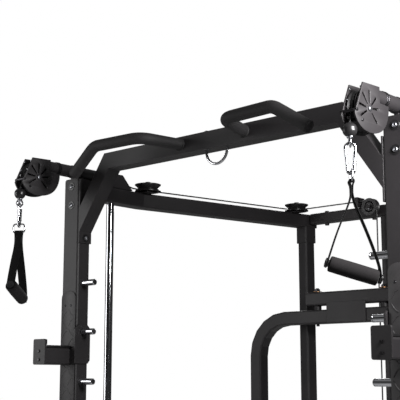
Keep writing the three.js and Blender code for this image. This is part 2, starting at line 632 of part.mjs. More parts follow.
// The strap loops over the ring, splits into two legs and takes the grip's tube in a tab at each end.
function handleStrap(side) {
  const half = STRAP.width / 2;
  const loop = circle(STRAP.loopOuter);
  loop.holes.push(new THREE.Path().absarc(0, 0, STRAP.loopInner, 0, 2 * Math.PI));
  const legs = [-1, 1].map((end) => {
    const foot = [
      end * GRIP.tab * Math.cos(tiltAngle) - 12 * Math.sin(tiltAngle),
      GRIP_Z[side] + end * GRIP.tab * Math.sin(tiltAngle) + 12 * Math.cos(tiltAngle),
    ];
    const from = [end * STRAP.thickness / 2, STRAP.split + 2];
    const along = new THREE.Vector2(foot[0] - from[0], foot[1] - from[1]).normalize();
    const across = [(-along.y * STRAP.thickness) / 2, (along.x * STRAP.thickness) / 2];
    return plateXZ(polygon([
      [from[0] - across[0], from[1] - across[1]], [foot[0] - across[0], foot[1] - across[1]],
      [foot[0] + across[0], foot[1] + across[1]], [from[0] + across[0], from[1] + across[1]],
    ]), -half, half);
  });
  const tabs = [-1, 1].map((end) =>
    tilted(cut(
      box(end * GRIP.tab - 1.5, end * GRIP.tab + 1.5, -half, half, -12, 16),
      barU(80, GRIP.tubeRadius + 0.6, 0, 14),
    ), side));
  const whole = join(
    plateXZ(loop, -half, half, 5).translate(0, 0, STRAP.loopZ),
    box(-STRAP.thickness, STRAP.thickness, -half, half, STRAP.split, STRAP.loopZ - 5.2),
    ...legs, ...tabs,
  );
  return hang(whole, side);
}

function handleGrip(side) {
  const flange = GRIP.tab + 2.5;
  const end = flange + 3.5;
  const { radius, halfLength, tubeRadius, capRadius } = GRIP;
  const profile = [
    [0, -end], [capRadius, -end], [capRadius, -flange], [tubeRadius, -flange],
    [tubeRadius, -halfLength], [radius - 2, -halfLength], [radius, -halfLength + 2],
    [radius, halfLength - 2], [radius - 2, halfLength], [tubeRadius, halfLength],
    [tubeRadius, flange], [capRadius, flange], [capRadius, end], [0, end],
  ];
  const grip = new THREE.LatheGeometry(profile.map(([x, y]) => new THREE.Vector2(x, y)), 14);
  return hang(tilted(grip.rotateZ(-Math.PI / 2), side), side);
}

// ---- cable --------------------------------------------------------------------------------
// From inside the arm tube, outside the kink wheel, round the corner wheel, over the centre wheel and down.
function cable() {
  const cornerTurn = Array.from({ length: 7 }, (_, i) => {
    const angle = slant + (Math.PI / 2 - slant) * (i / 6);
    return [
      CORNER_WHEEL.x + WHEEL_CABLE_RADIUS * Math.cos(angle),
      CORNER_WHEEL.y + WHEEL_CABLE_RADIUS * Math.sin(angle),
      CABLE.z,
    ];
  });
  const downTurn = Array.from({ length: 7 }, (_, i) => {
    const angle = Math.PI / 2 + (Math.PI / 2) * (i / 6);
    return [
      CENTRE_WHEEL.x + SMALL_CABLE_RADIUS * Math.cos(angle),
      CENTRE_WHEEL.y,
      CENTRE_WHEEL.z + SMALL_CABLE_RADIUS * Math.sin(angle),
    ];
  });
  const kinkLeave = [
    KINK_WHEEL.x + WHEEL_CABLE_RADIUS * Math.cos(slant),
    KINK_WHEEL.y + WHEEL_CABLE_RADIUS * Math.sin(slant),
    CABLE.z,
  ];
  const route = [
    [ARM.x, -12, ARM.z], [ARM.x, 180, ARM.z], [ARM.x, 272, CABLE.z],
    [ARM.x, KINK_WHEEL.y, CABLE.z], kinkLeave,
    ...cornerTurn, ...downTurn, [LUG.x, CENTRE_WHEEL.y, LUG.bottom - 12],
  ];
  const under = (drop) => [LUG.x, CENTRE_WHEEL.y, LUG.bottom - drop];
  const ferrule = rod(under(16), under(2), 6, 12);
  return join(sweep(circle(CABLE.radius), route, 4), ferrule);
}

function flatWheel(at) {
  return grooved(WHEEL).rotateX(Math.PI / 2).translate(at.x, at.y, CABLE.z);
}

// ---- rear, guides and bar -----------------------------------------------------------------
function rearArch() {
  const bottom = RAIL.height + GAP;
  const route = roundCorners(
    [
      [-ARCH.x, ARCH.y, bottom], [-ARCH.x, ARCH.y, ARCH.z],
      [ARCH.x, ARCH.y, ARCH.z], [ARCH.x, ARCH.y, bottom],
    ],
    ARCH.bend, 5,
  );
  const boltHoles = [-1, 1].flatMap((side) => ARCH_BEAM.boltX.map((x) =>
    rod([side * x, ARCH.y, ARCH.z - 40], [side * x, ARCH.y, ARCH.z + 40], 6.5, 8)));
  return cut(sweep(tubeSection(ARCH.size, ARCH.size), route), ...boltHoles);
}

// A short beam bolted over the arch, with a joint plate down the front of the arch on each side.
function archTopBeam() {
  const section = tubeSection(ARCH.size, ARCH_BEAM.top - ARCH_BEAM.bottom);
  const beam = plateYZ(section, -ARCH_BEAM.halfLength, ARCH_BEAM.halfLength)
    .translate(0, ARCH.y, (ARCH_BEAM.bottom + ARCH_BEAM.top) / 2);
  const front = ARCH.y - ARCH.size / 2;
  const perSide = [-1, 1].flatMap((side) => {
    const [near, far] = side > 0 ? [110, 273] : [-273, -110];
    const bolts = ARCH_BEAM.boltX.flatMap((x) => [
      rod([side * x, ARCH.y, ARCH.z - 33], [side * x, ARCH.y, ARCH_BEAM.top + 16], 6, 8),
      rod([side * x, ARCH.y, ARCH_BEAM.top], [side * x, ARCH.y, ARCH_BEAM.top + 3], 16, 12),
      rod([side * x, ARCH.y, ARCH_BEAM.top + 2], [side * x, ARCH.y, ARCH_BEAM.top + 11], 10, 6),
      rod([side * x, ARCH.y, ARCH.z + ARCH.size / 2 + GAP], [side * x, ARCH.y, ARCH_BEAM.bottom + 1], 14, 12),
    ]);
    return [
      box(near, far, front - 4.3, front - GAP, ARCH.z - 22, ARCH_BEAM.bottom + 8),
      box(near, far, front - 4.3, front + 2, ARCH_BEAM.bottom + 2, ARCH_BEAM.bottom + 8),
      ...bolts,
    ];
  });
  return join(beam, ...perSide);
}

function weightPost() {
  const bottom = RAIL.height + GAP;
  const height = REAR_BEAM.bottom - GAP - bottom;
  return extrude(tubeSection(POST.size, POST.size, 2.5, 4), height).translate(POST.x, POST.y, bottom);
}

// Two sleeves on the posts, a plate between them, a horn for weight plates each side and two cable lugs.
function weightCarriage() {
  const middle = (CARRIAGE.bottom + CARRIAGE.top) / 2;
  const height = CARRIAGE.top - CARRIAGE.bottom;
  const perSide = [-1, 1].flatMap((side) => {
    const tube = extrude(tubeSection(CARRIAGE.sleeve, CARRIAGE.sleeve, 7.2, 4), height)
      .translate(side * POST.x, POST.y, CARRIAGE.bottom);
    const hornAt = (x) => [side * x, POST.y, CARRIAGE.hornZ];
    const horn = rod(
      hornAt(POST.x + CARRIAGE.sleeve / 2 - 3), hornAt(CARRIAGE.hornEnd), CARRIAGE.hornRadius, 20,
    );
    const lugFront = CENTRE_WHEEL.y - 6;
    const lugRear = POST.y - CARRIAGE.sleeve / 2 + 2;
    const lugX = side * LUG.x;
    const lug = cut(
      box(lugX - 11, lugX + 11, lugFront, lugRear, LUG.bottom, CARRIAGE.top),
      rod([lugX, CENTRE_WHEEL.y, LUG.bottom - 5], [lugX, CENTRE_WHEEL.y, CARRIAGE.top + 5], LUG.bore, 12),
    );
    return [tube, horn, lug];
  });
  const plateHalf = POST.x - CARRIAGE.sleeve / 2 + 2;
  return join(...perSide, box(-plateHalf, plateHalf, POST.y - 5, POST.y + 5, middle - 70, middle + 70));
}

function guideRod() {
  const at = (z) => [ROD.x, ROD.y, z];
  return join(
    rod(at(RAIL.height + GAP), at(SIDE_BEAM.bottom - GAP), ROD.radius, 16),
    rod(at(STOP.top - STOP.height), at(STOP.top), STOP.radius, 16),
  );
}

function barSleeve() {
  const { radius, halfHeight, blockHalf, blockHalfHeight } = BAR_SLEEVE;
  const upright = (half, barRadius, sides) =>
    rod([ROD.x, ROD.y, BAR.z - half], [ROD.x, ROD.y, BAR.z + half], barRadius, sides);
  const body = join(
    upright(halfHeight, radius, 24),
    box(
      ROD.x - blockHalf, ROD.x + blockHalf, BAR.y - blockHalf, ROD.y - 12,
      BAR.z - blockHalfHeight, BAR.z + blockHalfHeight,
    ),
  );
  return cut(
    body,
    upright(halfHeight + 10, ROD.radius + 0.6, 16),
    rod([ROD.x - 40, BAR.y, BAR.z], [ROD.x + 40, BAR.y, BAR.z], BAR.radius + 0.5, 20),
  );
}

function slidingBar() {
  const at = (x) => [x, BAR.y, BAR.z];
  const ends = [-1, 1].flatMap((side) => [
    rod(at(side * SHOULDER.x), at(side * BAR.sleeveEnd), BAR.sleeveRadius, 20),
    rod(at(side * (SHOULDER.x - SHOULDER.width)), at(side * (SHOULDER.x + 2)), SHOULDER.radius, 24),
  ]);
  return join(rod(at(-SHOULDER.x - 5), at(SHOULDER.x + 5), BAR.radius, 20), ...ends);
}

// ---- assembly -----------------------------------------------------------------------------
addPair("floor_rail", floorRail(), paint);
add("rear_floor_beam", rearFloorBeam(), paint);
addPair("front_upright", frontUpright(), paint);
addPair("rear_upright", rearUpright(), paint);
addPair("side_beam", sideBeam(), paint);
add("rear_top_beam", rearTopBeam(), paint);
add("crossbar", crossbar(), paint);
addPair("pullup_handle", pullUpHandle(), sleeve);
add("anchor_ring", anchorRing(), chrome);
addPair("tread_strip", treadStrip(), rubber);
addPair("peg_row", pegRow(), chrome);
addPair("front_bolts", frontBolts(), steel);
addPair("brace_bolt", braceBolt(), steel);
addPair("j_hook", jHook(), paint);
addPair("pulley_arm", pulleyArm(), paint);
addPair("pulley_bracket", pulleyBracket(), paint);
addPair("bracket_axle", bracketAxle(), steel);
addPair(
  "bracket_pulley",
  grooved(BRACKET_WHEEL).rotateZ(-Math.PI / 2).translate(ARM.x, BRACKET.wheelY, BRACKET.wheelZ),
  plastic,
);
addPair("kink_pulley", flatWheel(KINK_WHEEL), plastic);
addPair("corner_pulley", flatWheel(CORNER_WHEEL), plastic);
addPair(
  "centre_pulley",
  grooved(SMALL_WHEEL).translate(CENTRE_WHEEL.x, CENTRE_WHEEL.y, CENTRE_WHEEL.z),
  plastic,
);
addPair("cable", cable(), plastic);
for (const side of ["left", "right"]) {
  add(`ball_stop_${side}`, ballStop(side), plastic);
  add(`carabiner_${side}`, carabiner(side), chrome);
  add(`handle_ring_${side}`, handleRing(side), chrome);
  add(`handle_strap_${side}`, handleStrap(side), webbing);
  add(`handle_grip_${side}`, handleGrip(side), sleeve);
}
add("rear_arch", rearArch(), paint);
add("arch_top_beam", archTopBeam(), paint);
addPair("weight_post", weightPost(), paint);
add("weight_carriage", weightCarriage(), paint);
addPair("guide_rod", guideRod(), chrome);
addPair("bar_sleeve", barSleeve(), steel);
add("sliding_bar", slidingBar(), chrome);

export default group;
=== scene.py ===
"""Looks of the functional trainer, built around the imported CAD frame. Metres, +Z up."""
import json
import math

import bmesh
import bpy
from mathutils import Matrix, Vector


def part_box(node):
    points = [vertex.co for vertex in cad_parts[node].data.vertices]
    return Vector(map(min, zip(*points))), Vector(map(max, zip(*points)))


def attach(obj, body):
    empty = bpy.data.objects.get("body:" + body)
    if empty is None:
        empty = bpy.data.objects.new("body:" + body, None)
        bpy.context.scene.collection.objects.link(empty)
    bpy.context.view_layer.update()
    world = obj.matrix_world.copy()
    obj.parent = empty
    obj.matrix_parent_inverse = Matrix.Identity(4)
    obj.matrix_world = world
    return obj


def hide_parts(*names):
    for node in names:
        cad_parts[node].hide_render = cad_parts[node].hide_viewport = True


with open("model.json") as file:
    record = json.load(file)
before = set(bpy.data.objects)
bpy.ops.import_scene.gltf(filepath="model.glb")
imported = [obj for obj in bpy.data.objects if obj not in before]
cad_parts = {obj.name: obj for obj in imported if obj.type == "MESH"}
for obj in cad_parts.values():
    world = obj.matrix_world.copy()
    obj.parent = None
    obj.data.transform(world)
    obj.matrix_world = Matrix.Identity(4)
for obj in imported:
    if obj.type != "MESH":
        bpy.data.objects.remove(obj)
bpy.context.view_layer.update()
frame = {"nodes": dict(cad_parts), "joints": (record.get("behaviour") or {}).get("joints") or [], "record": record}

MM = 0.001
SIDES = {"left": -1, "right": 1}
JOINTS = {joint["name"]: joint for joint in frame["joints"]}
X, Y, Z = Vector((1, 0, 0)), Vector((0, 1, 0)), Vector((0, 0, 1))


def mm(*points):
    """Points of a section, given in millimetres."""
    return [(u * MM, v * MM) for u, v in points]


def pivot_of(joint):
    return Vector(JOINTS[joint]["pos_m"])


def axis_of(joint):
    return Vector(JOINTS[joint]["axis"])


# ---- camera, world, lights and floor ----
UPRIGHT_FRONT = -0.39
CAMERA_PLACE = Vector((1.7879, UPRIGHT_FRONT - 2.0372, 1.440))
CAMERA_TURN = (math.radians(90 + 10.11), 0, math.radians(41.91))
LENS, SENSOR, VIEW_DEPTH = 89.95, 36, 60
# Name, place, target, size and power in watts.
LIGHTS = (
    ("key", (1.2, -0.62, 2.16), (0.62, -0.53, 2.03), (0.3, 0.4), 28),
    ("front", (-1.7, -1.7, 1.9), (-0.59, -0.39, 1.7), (0.6, 1.2), 13),
    ("rear", (-2.6, 2.8, 3.2), (0, 0.2, 1.9), (1.6, 1.2), 45),
)
# How bright the room is by height: 0 is straight down, 0.5 is level and 1 is straight up.
ROOM = ((0.30, 0.30), (0.46, 0.10), (0.56, 0.07), (0.74, 0.16), (0.80, 0.85), (0.95, 0.55))
ROOM_STRENGTH = 0.34
FLOOR_SIZE, FLOOR_DROP = 40, 0.0005


def add_camera():
    data = bpy.data.cameras.new("camera")
    data.lens = LENS
    data.sensor_width = SENSOR
    data.clip_end = VIEW_DEPTH
    camera = bpy.data.objects.new("camera", data)
    camera.location = CAMERA_PLACE
    camera.rotation_euler = CAMERA_TURN
    bpy.context.scene.collection.objects.link(camera)
    bpy.context.scene.camera = camera


def add_area_light(name, place, target, size, power):
    data = bpy.data.lights.new(name, "AREA")
    data.shape = "RECTANGLE"
    data.size, data.size_y = size
    data.energy = power
    light = bpy.data.objects.new(name, data)
    light.location = place
    light.rotation_euler = (Vector(target) - Vector(place)).to_track_quat("-Z", "Y").to_euler()
    bpy.context.scene.collection.objects.link(light)


def add_world():
    """The camera sees plain white. What lights the object is a dim room with a bright ceiling."""
    world = bpy.data.worlds.new("studio")
    bpy.context.scene.world = world
    world.use_nodes = True
    world.node_tree.nodes.clear()
    split = node(world, "ShaderNodeSeparateXYZ")
    link(world, node(world, "ShaderNodeTexCoord").outputs["Generated"], split.inputs[0])
    height = node(world, "ShaderNodeMapRange", From_Min=-1)
    link(world, split.outputs["Z"], height.inputs["Value"])
    room = ramp(world, height.outputs["Result"], [(place, (grey, grey, grey)) for place, grey in ROOM])
    fill = node(world, "ShaderNodeBackground", Strength=ROOM_STRENGTH)
    link(world, room, fill.inputs["Color"])
    seen = node(world, "ShaderNodeBackground", Strength=1.0, Color=(1, 1, 1, 1))
    mix = node(world, "ShaderNodeMixShader")
    link(world, node(world, "ShaderNodeLightPath").outputs["Is Camera Ray"], mix.inputs[0])
    link(world, fill.outputs[0], mix.inputs[1])
    link(world, seen.outputs[0], mix.inputs[2])
    output = node(world, "ShaderNodeOutputWorld")
    link(world, mix.outputs[0], output.inputs["Surface"])
    bpy.context.scene.view_settings.view_transform = "Standard"


def add_floor():
    bpy.ops.mesh.primitive_plane_add(size=FLOOR_SIZE, location=(0, 0, -FLOOR_DROP))
    floor = bpy.context.object
    floor.name = "floor"
    floor.data.materials.append(new_material("floor_paint", (0.86, 0.86, 0.86), 0.7)[0])


# ---- materials ----
def new_material(name, colour, roughness, metallic=0.0):
    material = bpy.data.materials.new(name)
    material.use_nodes = True
    shader = material.node_tree.nodes["Principled BSDF"]
    shader.inputs["Base Color"].default_value = (*colour, 1)
    shader.inputs["Roughness"].default_value = roughness
    shader.inputs["Metallic"].default_value = metallic
    return material, shader


def node(material, kind, **values):
    made = material.node_tree.nodes.new(kind)
    for name, value in values.items():
        made.inputs[name.replace("_", " ")].default_value = value
    return made


def link(material, source, target):
    material.node_tree.links.new(source, target)


def object_coordinates(material, scale=(1, 1, 1)):
    place = node(material, "ShaderNodeTexCoord")
    mapping = node(material, "ShaderNodeMapping")
    mapping.inputs["Scale"].default_value = scale
    link(material, place.outputs["Object"], mapping.inputs["Vector"])
    return mapping.outputs["Vector"]


def noise(material, vector, scale, detail=3.0):
    made = node(material, "ShaderNodeTexNoise", Scale=scale, Detail=detail)
    link(material, vector, made.inputs["Vector"])
    return made.outputs["Fac"]


def ramp(material, value, stops):
    """Maps a value to colours: stops are (position, colour)."""
    made = node(material, "ShaderNodeValToRGB")
    elements = made.color_ramp.elements
    while len(elements) < len(stops):
        elements.new(0.5)
    for element, (position, colour) in zip(elements, stops):
        element.position = position
        element.color = (*colour, 1)
    link(material, value, made.inputs["Fac"])
    return made.outputs["Color"]


def bump(material, shader, height, distance, strength, base_normal=None):
    made = node(material, "ShaderNodeBump", Strength=strength, Distance=distance)
    link(material, height, made.inputs["Height"])
    if base_normal is not None:
        link(material, base_normal, made.inputs["Normal"])
    link(material, made.outputs["Normal"], shader.inputs["Normal"])


def roughness_range(material, shader, value, low, high):
    spread = node(material, "ShaderNodeMapRange", To_Min=low, To_Max=high)
    link(material, value, spread.inputs["Value"])
    link(material, spread.outputs["Result"], shader.inputs["Roughness"])


def rounded_edges(material, radius):
    made = node(material, "ShaderNodeBevel", Radius=radius)
    made.samples = 4
    return made.outputs["Normal"]


def edge_mask(material, edges):
    """One on sharp edges, zero on flats: where the bevelled normal leaves the true one."""
    geometry = node(material, "ShaderNodeNewGeometry")
    dot = node(material, "ShaderNodeVectorMath")
    dot.operation = "DOT_PRODUCT"
    link(material, edges, dot.inputs[0])
    link(material, geometry.outputs["Normal"], dot.inputs[1])
    spread = node(material, "ShaderNodeMapRange", From_Min=0.995, From_Max=0.86)
    link(material, dot.outputs["Value"], spread.inputs["Value"])
    return spread.outputs["Result"]


def mix_colour(material, factor, first, second):
    made = node(material, "ShaderNodeMix")
    made.data_type = "RGBA"
    link(material, factor, made.inputs["Factor"])
    for socket, value in ((made.inputs[6], first), (made.inputs[7], second)):
        if isinstance(value, tuple):
            socket.default_value = (*value, 1)
        else:
            link(material, value, socket)
    return made.outputs[2]


def powder_coat():
    """Black powder coat: a fine orange-peel grain, faint cloudiness, and edges painted a little lighter, partly as
    light wear and partly as a painted highlight.
    """
    material, shader = new_material("powder_coat_look", (0.0135, 0.012, 0.0132), 0.5)
    vector = object_coordinates(material)
    cloud = noise(material, vector, 7.0, 4.0)
    grain = noise(material, vector, 950.0, 2.0)
    tone = ramp(material, cloud, [(0.35, (0.0125, 0.0110, 0.0122)), (0.7, (0.0200, 0.0176, 0.0192))])
    edges = rounded_edges(material, 1.6 * MM)
    # Every sharp edge gets a lighter colour: partly light wear, partly a painted highlight where edges catch the
    # light.
    tone = mix_colour(material, edge_mask(material, edges), tone, (0.040, 0.036, 0.038))
    link(material, tone, shader.inputs["Base Color"])
    roughness_range(material, shader, grain, 0.42, 0.62)
    bump(material, shader, grain, 0.12 * MM, 0.45, edges)
    return material


def sleeve_coat():
    """The handles' thick coat has a coarser pebble and hardly any gloss."""
    material, shader = new_material("sleeve_coat_look", (0.013, 0.012, 0.013), 0.75)
    vector = object_coordinates(material)
    pebble = noise(material, vector, 620.0, 2.0)
    # The colour follows the bump: the pebble's dips are painted darker than its tops, as painted shade in the
    # dips.
    tone = ramp(material, pebble, [(0.35, (0.0075, 0.0068, 0.0074)), (0.65, (0.016, 0.0145, 0.0155))])
    link(material, tone, shader.inputs["Base Color"])
    roughness_range(material, shader, pebble, 0.6, 0.85)
    bump(material, shader, pebble, 0.3 * MM, 0.7)
    return material


def polished_chrome():
    material, shader = new_material("chrome_look", (0.56, 0.565, 0.59), 0.08, 1.0)
    vector = object_coordinates(material, (1, 1, 0.08))
    streak = noise(material, vector, 140.0, 4.0)
    roughness_range(material, shader, streak, 0.06, 0.15)
    bump(material, shader, streak, 0.02 * MM, 0.2)
    return material


def metal(name, colour, low, high):
    """A plain metal with fine scratches and faint tarnish."""
    material, shader = new_material(name, colour, low, 1.0)
    vector = object_coordinates(material)
    tarnish = noise(material, vector, 180.0, 4.0)
    dark = tuple(channel * 0.7 for channel in colour)
    link(material, ramp(material, tarnish, [(0.35, dark), (0.62, colour)]), shader.inputs["Base Color"])
    roughness_range(material, shader, tarnish, low, high)
    bump(material, shader, noise(material, vector, 1500.0, 2.0), 0.03 * MM, 0.3)
    return material


def moulded(name, colour, low, high, grain_scale, depth):
    """Moulded plastic or rubber: a matte spark-eroded grain with a slightly uneven gloss."""
    material, shader = new_material(name, colour, low)
    vector = object_coordinates(material)
    grain = noise(material, vector, grain_scale, 2.0)
    light = tuple(channel * 1.5 for channel in colour)
    link(material, ramp(material, noise(material, vector, 30.0, 3.0), [(0.35, colour), (0.7, light)]),
         shader.inputs["Base Color"])
    roughness_range(material, shader, grain, low, high)
    bump(material, shader, grain, depth, 0.5)
    return material


def woven_webbing():
    """Nylon webbing: a fine plain weave from two crossed waves, with a soft sheen."""
    material, shader = new_material("webbing_look", (0.010, 0.010, 0.010), 0.85)
    shader.inputs["Sheen Weight"].default_value = 0.02
    shader.inputs["Sheen Roughness"].default_value = 0.4
    shader.inputs["Specular IOR Level"].default_value = 0.12
    vector = object_coordinates(material)
    heights = []
    for direction, scale in (("Z", 330.0), ("DIAGONAL", 420.0)):
        wave = node(material, "ShaderNodeTexWave", Scale=scale, Distortion=0.6)
        wave.bands_direction = direction
        link(material, vector, wave.inputs["Vector"])
        heights.append(wave.outputs["Fac"])
    product = node(material, "ShaderNodeMath")
    product.operation = "MULTIPLY"
    for height, socket in zip(heights, product.inputs):
        link(material, height, socket)
    weave = product.outputs["Value"]
    # The colour follows the bump: the weave's low places between threads are painted darker, as painted shade
    # between the threads.
    link(material, ramp(material, weave, [(0.1, (0.003, 0.003, 0.003)), (0.8, (0.010, 0.0095, 0.010))]),
         shader.inputs["Base Color"])
    bump(material, shader, weave, 0.35 * MM, 0.8)
    return material


def foam_rubber():
    """Closed-cell foam: tiny pores over a soft, very matte surface."""
    material, shader = new_material("foam_look", (0.020, 0.018, 0.019), 0.9)
    shader.inputs["Sheen Weight"].default_value = 0.03
    shader.inputs["Specular IOR Level"].default_value = 0.2
    vector = object_coordinates(material)
    cells = node(material, "ShaderNodeTexVoronoi", Scale=900.0)
    link(material, vector, cells.inputs["Vector"])
    depth = cells.outputs["Distance"]
    # The colour follows the bump: each pore is painted darker towards its sunk centre, as painted shade inside the
    # pores.
    tone = ramp(material, depth, [(0.1, (0.005, 0.0045, 0.0047)), (0.6, (0.013, 0.0115, 0.0122))])
    link(material, tone, shader.inputs["Base Color"])
    bump(material, shader, depth, 0.2 * MM, 0.6)
    return material


MATERIALS = {
    "powder_coat": powder_coat(),
    "grip_sleeve": sleeve_coat(),
    "chrome": polished_chrome(),
    "tread_rubber": moulded("tread_look", (0.026, 0.024, 0.0252), 0.42, 0.62, 700.0, 0.15 * MM),
    "black_steel": metal("black_steel_look", (0.060, 0.058, 0.062), 0.28, 0.45),
    "moulded_plastic": moulded("plastic_look", (0.0095, 0.009, 0.0095), 0.25, 0.42, 1100.0, 0.05 * MM),
    "cable_cover": moulded("cable_look", (0.018, 0.018, 0.018), 0.22, 0.35, 500.0, 0.02 * MM),
    "webbing": woven_webbing(),
    "foam": foam_rubber(),
}
ZINC = metal("zinc_look", (0.36, 0.365, 0.39), 0.24, 0.4)
BRONZE = metal("bronze_look", (0.50, 0.26, 0.13), 0.25, 0.42)
SLOT_OF = {part["node"]: part["material_slot"] for part in frame["record"]["subparts"]}


def dress_cad_nodes():
    for name, cad in frame["nodes"].items():
        cad.data.materials.clear()
        cad.data.materials.append(MATERIALS[SLOT_OF[name]])


# ---- mesh helpers ----
def make_object(name, vertices, faces, slot, material=None, smooth_angle=35):
    mesh = bpy.data.meshes.new(name)
    mesh.from_pydata([tuple(vertex) for vertex in vertices], [], faces)
    repair = bmesh.new()
    repair.from_mesh(mesh)
    bmesh.ops.remove_doubles(repair, verts=repair.verts, dist=1e-6)
    bmesh.ops.recalc_face_normals(repair, faces=repair.faces)
    repair.to_mesh(mesh)
    repair.free()
    mesh.materials.append(material or MATERIALS[slot])
    mesh.shade_smooth()
    mesh.set_sharp_from_angle(angle=math.radians(smooth_angle))
    made = bpy.data.objects.new(name, mesh)
    bpy.context.scene.collection.objects.link(made)
    return made


def frame_across(direction):
    """Two unit vectors square to a direction and to each other."""
    direction = direction.normalized()
    start = Z if abs(direction.z) < 0.9 else X
    first = (start - direction * start.dot(direction)).normalized()
    return first, direction.cross(first)


def lathe(name, profile, place, axis, slot, material=None, segments=48):
    """Turns (radius, height) points about an axis. A profile that ends off the axis closes on itself."""
    axis = axis.normalized()
    first, second = frame_across(axis)
    vertices, faces = [], []
    for radius, height in profile:
        for i in range(segments):
            angle = 2 * math.pi * i / segments
            across = first * math.cos(angle) + second * math.sin(angle)
            vertices.append(place + axis * height + across * radius)
    rows = len(profile)
    closed = profile[0][0] > 0 and profile[-1][0] > 0
    for row in range(rows if closed else rows - 1):
        for i in range(segments):
            a, b = row * segments + i, row * segments + (i + 1) % segments
            after = ((row + 1) % rows) * segments
            faces.append((a, b, after + (i + 1) % segments, after + i))
    return make_object(name, vertices, faces, slot, material)


def rounded(profile, cut):
    """Replaces each inner corner of a (radius, height) profile with a small chamfer of two points."""
    points = [Vector(point) for point in profile]
    result = [points[0]]
    for before, corner, after in zip(points, points[1:], points[2:]):
        into, out = (before - corner), (after - corner)
        step = min(cut, into.length * 0.45, out.length * 0.45)
        result += [corner + into.normalized() * step, corner + out.normalized() * step]
    result.append(points[-1])
    return [tuple(point) for point in result]


def bend(corners, radius, steps=8):
    """A route whose inner corners are rounded arcs."""
    corners = [Vector(corner) for corner in corners]
    route = [corners[0]]
    for before, corner, after in zip(corners, corners[1:], corners[2:]):
        into, out = (before - corner).normalized(), (after - corner).normalized()
        half = into.angle(out) / 2
        reach = min(radius / math.tan(half), 0.48 * (before - corner).length, 0.48 * (after - corner).length)
        start, end = corner + into * reach, corner + out * reach
        for k in range(steps + 1):
            t = k / steps
            route.append(start * (1 - t) ** 2 + corner * 2 * t * (1 - t) + end * t**2)
    route.append(corners[-1])
    return route


def sweep(name, route, section, slot, material=None, closed=False, across=None):
    """Carries a section along a route with a frame that doesn't twist. across fixes the section's X."""
    route = [Vector(point) for point in route]
    count = len(route)
    vertices, faces = [], []
    side = None
    for i, point in enumerate(route):
        before = route[i - 1] if i or closed else point
        after = route[(i + 1) % count] if i + 1 < count or closed else point
        along = (after - before).normalized()
        if across is not None:
            side = (across - along * across.dot(along)).normalized()
        elif side is None:
            side = frame_across(along)[0]
        else:
            side = (side - along * side.dot(along)).normalized()
        up = along.cross(side)
        vertices += [point + (side * u + up * v) for u, v in section]
    size = len(section)
    for i in range(count if closed else count - 1):
        for k in range(size):
            a, b = i * size + k, i * size + (k + 1) % size
            after = ((i + 1) % count) * size
            faces.append((a, b, after + (k + 1) % size, after + k))
    if not closed:
        faces.append(tuple(range(size)))
        faces.append(tuple(range((count - 1) * size, count * size)))
    return make_object(name, vertices, faces, slot, material)


def round_section(radius, sides=16):
    return [(radius * math.cos(2 * math.pi * i / sides), radius * math.sin(2 * math.pi * i / sides))
            for i in range(sides)]


def soft_rectangle(width, height, corner, steps=4):
    """A rectangle with round corners, as (u, v) points."""
    points = []
    for quarter, (sx, sy) in enumerate(((1, 1), (-1, 1), (-1, -1), (1, -1))):
        for k in range(steps + 1):
            angle = math.pi / 2 * (quarter + k / steps)
            points.append((sx * (width / 2 - corner) + corner * math.cos(angle),
                           sy * (height / 2 - corner) + corner * math.sin(angle)))
    return points


def plate(name, outline, holes, thickness, bevel, matrix, slot):
    """A flat plate with holes and bevelled edges, drawn in X and Y and centred on Z = 0."""
    curve = bpy.data.curves.new(name, "CURVE")
    curve.dimensions = "2D"
    curve.fill_mode = "BOTH"
    curve.extrude = thickness / 2 - bevel
    curve.bevel_depth = bevel
    curve.bevel_resolution = 1
    curve.offset = -bevel
    for loop in [outline, *holes]:
        spline = curve.splines.new("POLY")
        spline.points.add(len(loop) - 1)
        for point, (x, y) in zip(spline.points, loop):
            point.co = (x, y, 0, 1)
        spline.use_cyclic_u = True
    temporary = bpy.data.objects.new(name, curve)
    bpy.context.scene.collection.objects.link(temporary)
    bpy.context.view_layer.update()
    mesh = bpy.data.meshes.new_from_object(temporary.evaluated_get(bpy.context.evaluated_depsgraph_get()))
    bpy.data.objects.remove(temporary)
    mesh.transform(matrix)
    vertices = [vertex.co.copy() for vertex in mesh.vertices]
    faces = [tuple(polygon.vertices) for polygon in mesh.polygons]
    bpy.data.meshes.remove(mesh)
    return make_object(name, vertices, faces, slot)


def axes(place, x_axis, y_axis):
    """A matrix that takes drawing X and Y to two directions at a place."""
    z_axis = x_axis.cross(y_axis)
    matrix = Matrix((x_axis, y_axis, z_axis)).transposed().to_4x4()
    matrix.translation = place
    return matrix


# ---- pieces that repeat ----
CLEARANCE = 0.3 * MM
WASHER_HEIGHT = 1.6 * MM
FACES_OF_PLATE = (("in", -1), ("out", 1))
TWO_ENDS = (("a", -1), ("b", 1))
FRONT_AND_BACK = (("front", -1), ("back", 1))


def disc(radius, height, cut):
    """Half the section of a short cylinder with softened edges."""
    return rounded([(0, 0), (radius, 0), (radius, height), (0, height)], cut)


def ring(inner, outer, height, cut):
    """Half the section of a ring with softened edges."""
    return rounded([(inner, 0), (outer, 0), (outer, height), (inner, height)], cut)


def spindle(radius, reach):
    """Half the section of a plain pin that is centred on its place."""
    return [(0, -reach), (radius, -reach), (radius, reach), (0, reach)]


def stand_in(piece, body, cad=None):
    """A piece that rides on a body, in place of the CAD node if one is named."""
    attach(piece, body)
    if cad:
        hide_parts(cad)


def turned(name, body, profile, place, axis, slot, material=None, segments=48, cad=None):
    """A turned piece that rides on a body."""
    stand_in(lathe(name, profile, place, axis, slot, material, segments), body, cad)


